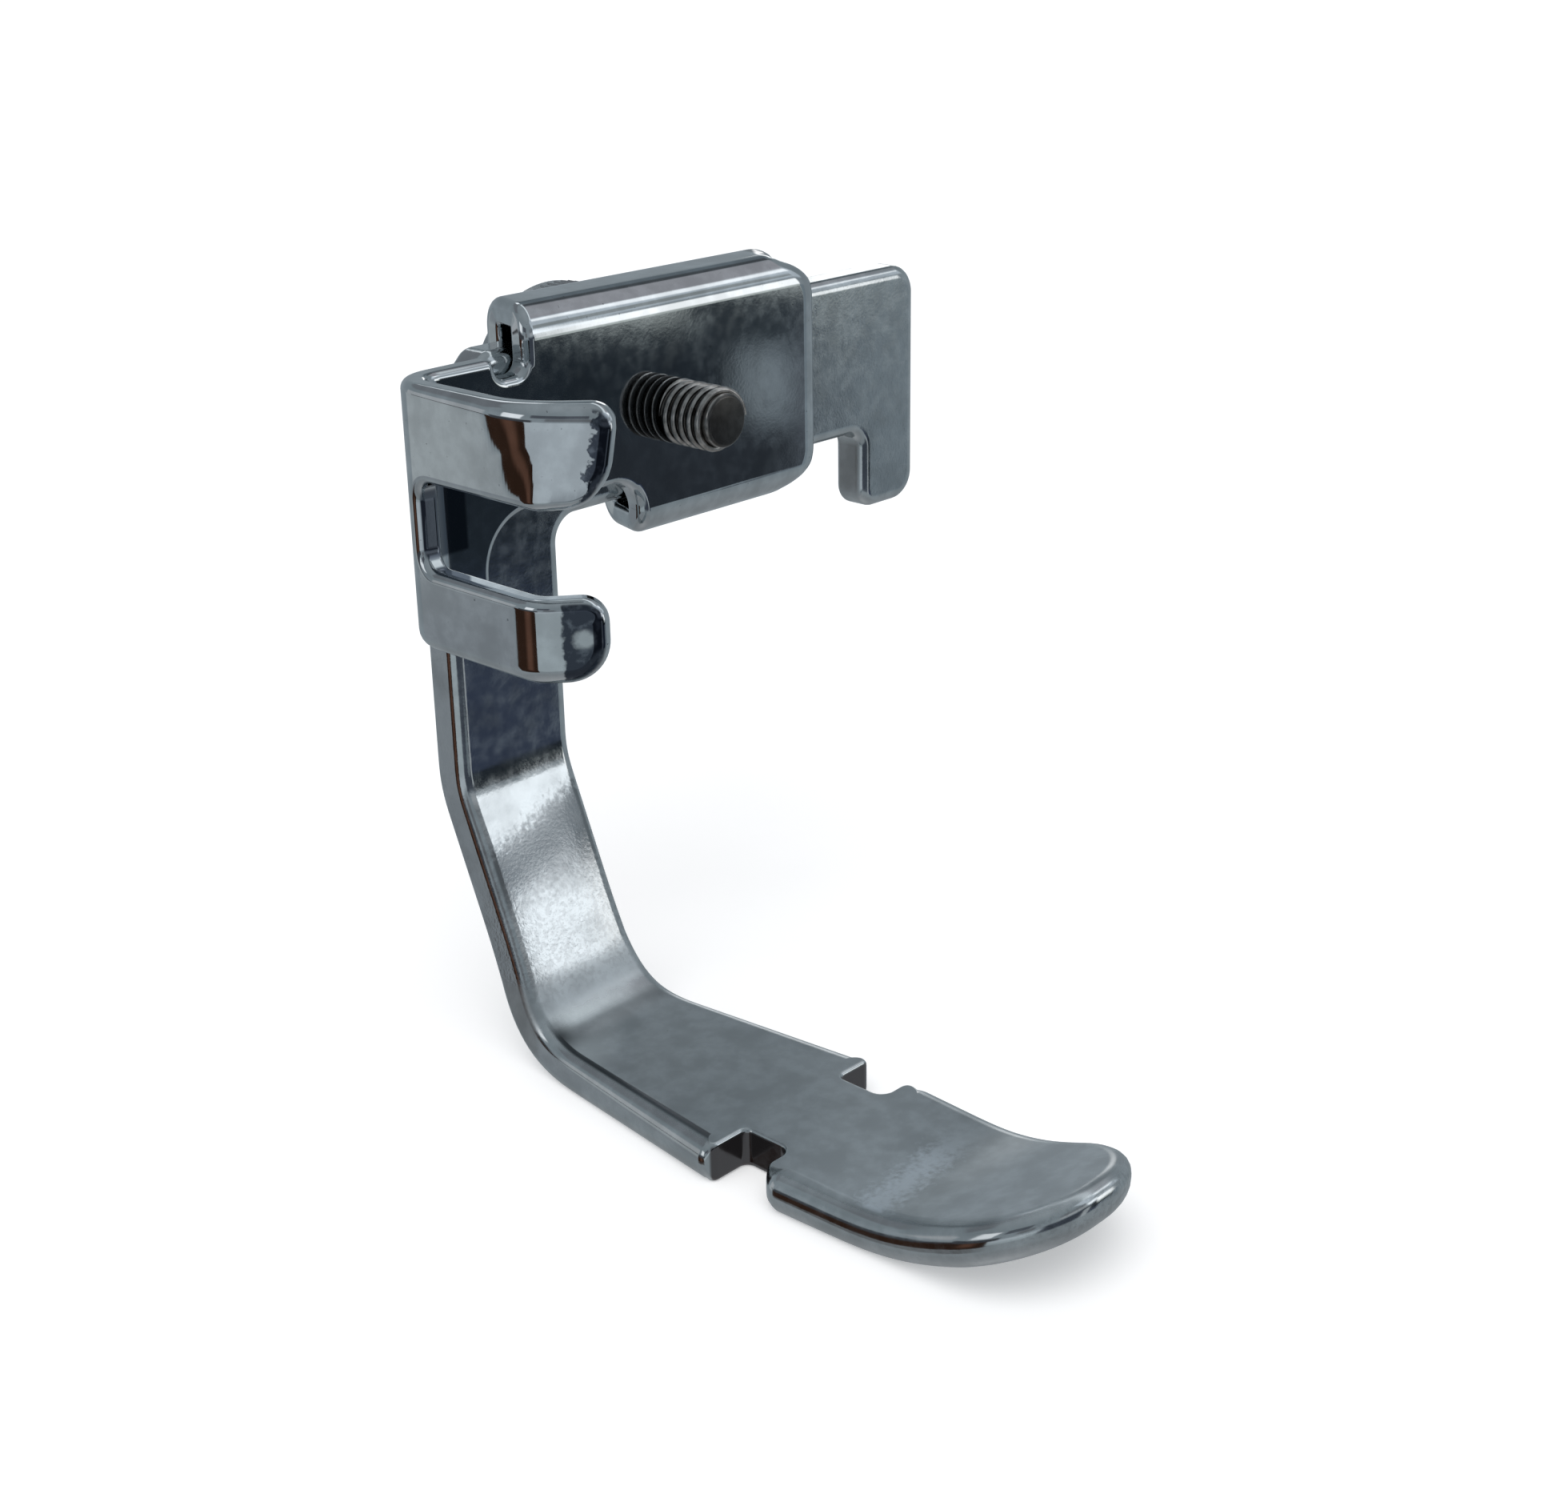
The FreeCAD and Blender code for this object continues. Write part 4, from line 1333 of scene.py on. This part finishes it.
# %% Walls and panels
levels = [(-90, (0.44, 0.45, 0.46)), (-62, (0.32, 0.335, 0.35)), (-47, (0.28, 0.30, 0.315)),
          (-35, (0.30, 0.33, 0.35)), (-20, (0.27, 0.31, 0.335)), (0, (0.31, 0.35, 0.38)),
          (30, (0.26, 0.30, 0.325)), (90, (0.34, 0.375, 0.40))]
panels = [
    ("grey wall for the channel, low", 118, -21, 12, 9, 0, 3, (0.285, 0.31, 0.335)),
    ("grey wall for the channel, high", 118, -10, 12, 6, 0, 5, (0.44, 0.475, 0.49)),
    ("tines, low", -144, -21, 32, 6, 0, 4, (0.42, 0.475, 0.50)),
    ("tines, high", -144, -11, 32, 6, 0, 4, (0.52, 0.57, 0.61)),
    ("brown shelf", 159, -19, 25.5, 15, 0, 1.5, (0.035, 0.018, 0.012)),
    ("brown shelf, its light edge", 164, -15, 8, 9, 0, 12, (0.125, 0.062, 0.042)),
    ("dark front", -90, -12, 30, 14, 0, 8, (0.06, 0.07, 0.09)),
    ("bar wall", -37, -13, 6.0, 8, 0, 2, (0.238, 0.282, 0.315)),
    ("bar's dark seam", -42.1, -14, 0.5, 8, 0, 0.8, (0.10, 0.11, 0.13)),
    ("dark window, low", -54, -20, 7, 6, 0, 2.5, (0.042, 0.055, 0.090)),
    ("dark window", -52.15, -8, 8, 9, 0, 1.1, (0.019, 0.026, 0.034)),
    ("dark window's sill", -45.5, -14.3, 3, 1.3, 0, 1.2, (0.03, 0.036, 0.045)),
    ("dark window's head", -45.5, -9.3, 3.2, 1.9, 0, 1, (0.035, 0.045, 0.055)),
    ("streaks beside the leg", -66, -16, 4.5, 12, 0, 3, (0.45, 0.48, 0.50)),
    ("soft upper wall", -44, 34, 22, 18, 0, 8, (0.62, 0.68, 0.74)),
    ("ceiling over the ankle", 0, 57, 30, 5.5, 0, 4, (0.95, 1.02, 1.06)),
    ("roll, dark band", -43, 24, 5, 4, 0, 3, (0.34, 0.37, 0.38)),
    ("roll, upper streak", -30.5, 36.5, 5.5, 5, 0, 3, (1.4, 1.43, 1.47)),
    ("roll, top", 5, 47, 25, 5, 0, 5, (0.40, 0.40, 0.43)),
    ("roll, dark rim", 29, 39, 7, 6, 0, 4, (0.08, 0.09, 0.10)),
    ("main panel's foot, left", -47.9, -2, 2.4, 8.4, 0, 0.9, (0.60, 0.64, 0.62)),
    ("main panel's foot, right", -43.5, -2, 2.5, 7.6, 0, 0.9, (0.60, 0.64, 0.62)),
    ("main panel", -45, 3.5, 5, 8, 0, 4, (1.6, 1.6, 1.6)),
    ("beside the leg, low", -84, 12, 18, 6, 0, 5, (0.42, 0.44, 0.46)),
    ("beside the leg, high", -84, 23, 18, 6, 0, 5, (0.22, 0.24, 0.26)),
    ("leg panel", -55.5, 12.5, 7.5, 5.5, 0, 3, (1.5, 1.55, 1.6)),
    ("toe wall, left", 50, 29, 6, 7, 0, 4, (0.07, 0.09, 0.105)),
    ("toe wall, right", 39, 30, 7, 7, 0, 6, (0.15, 0.18, 0.205)),
    ("beam over the toe", 95, 44, 25, 10, 0, 5, (0.20, 0.215, 0.235)),
    ("tip wall", 48, 0, 5, 8, 0, 5, (0.31, 0.35, 0.385)),
    ("tip's edge light", 60, 38, 6, 6, 0, 3, (1.3, 1.35, 1.4)),
    ("bar's top light", 38.5, 10, 4.5, 5, 0, 2, (1.7, 1.7, 1.7)),
    ("light beside the heel", 123, 6, 11, 11, 0, 4, (0.48, 0.50, 0.52)),
    ("dark line beside the toe", 167, -1, 27, 6, 0, 4, (0.06, 0.065, 0.075)),
    ("tine's edge light", 168, 20, 12, 11, 0, 3, (1.1, 1.12, 1.15)),
    ("tine's dark edge", -154, 26, 14, 8, 0, 3, (0.10, 0.11, 0.13)),
    ("dark line over the wall", 130, -3, 7, 1.3, 0, 2, (0.06, 0.06, 0.065)),
    ("grey beside the leg's edge", -141, 9, 10, 7, 0, 4, (0.18, 0.19, 0.205)),
]
room = surround("room_for_the_metal", levels, panels)
print("room:", len(panels), "panels")

# %% [markdown]
# Key light. One sun, as wide in the sky as a large softbox, lights the table evenly and gives the
# part its faint shadow. An area lamp would fall off across the white ground, so it isn't used. The
# sun is kept out of the reflections, which are the dome's work.

# %% Key light
light_from, light_to = Vector((-0.25, -0.15, 0.6)), Vector((0.01, 0, 0.01))
sun = bpy.data.lights.new("key_light", "SUN")
sun.angle = math.radians(55.0)
sun.energy = 1.3
key = placed("key_light", sun)
key.location = light_from
key.rotation_mode = "QUATERNION"
key.rotation_quaternion = (light_to - light_from).to_track_quat("-Z", "Y")
key.visible_glossy = False
print("key light:", round(math.degrees(sun.angle)), "degrees wide")
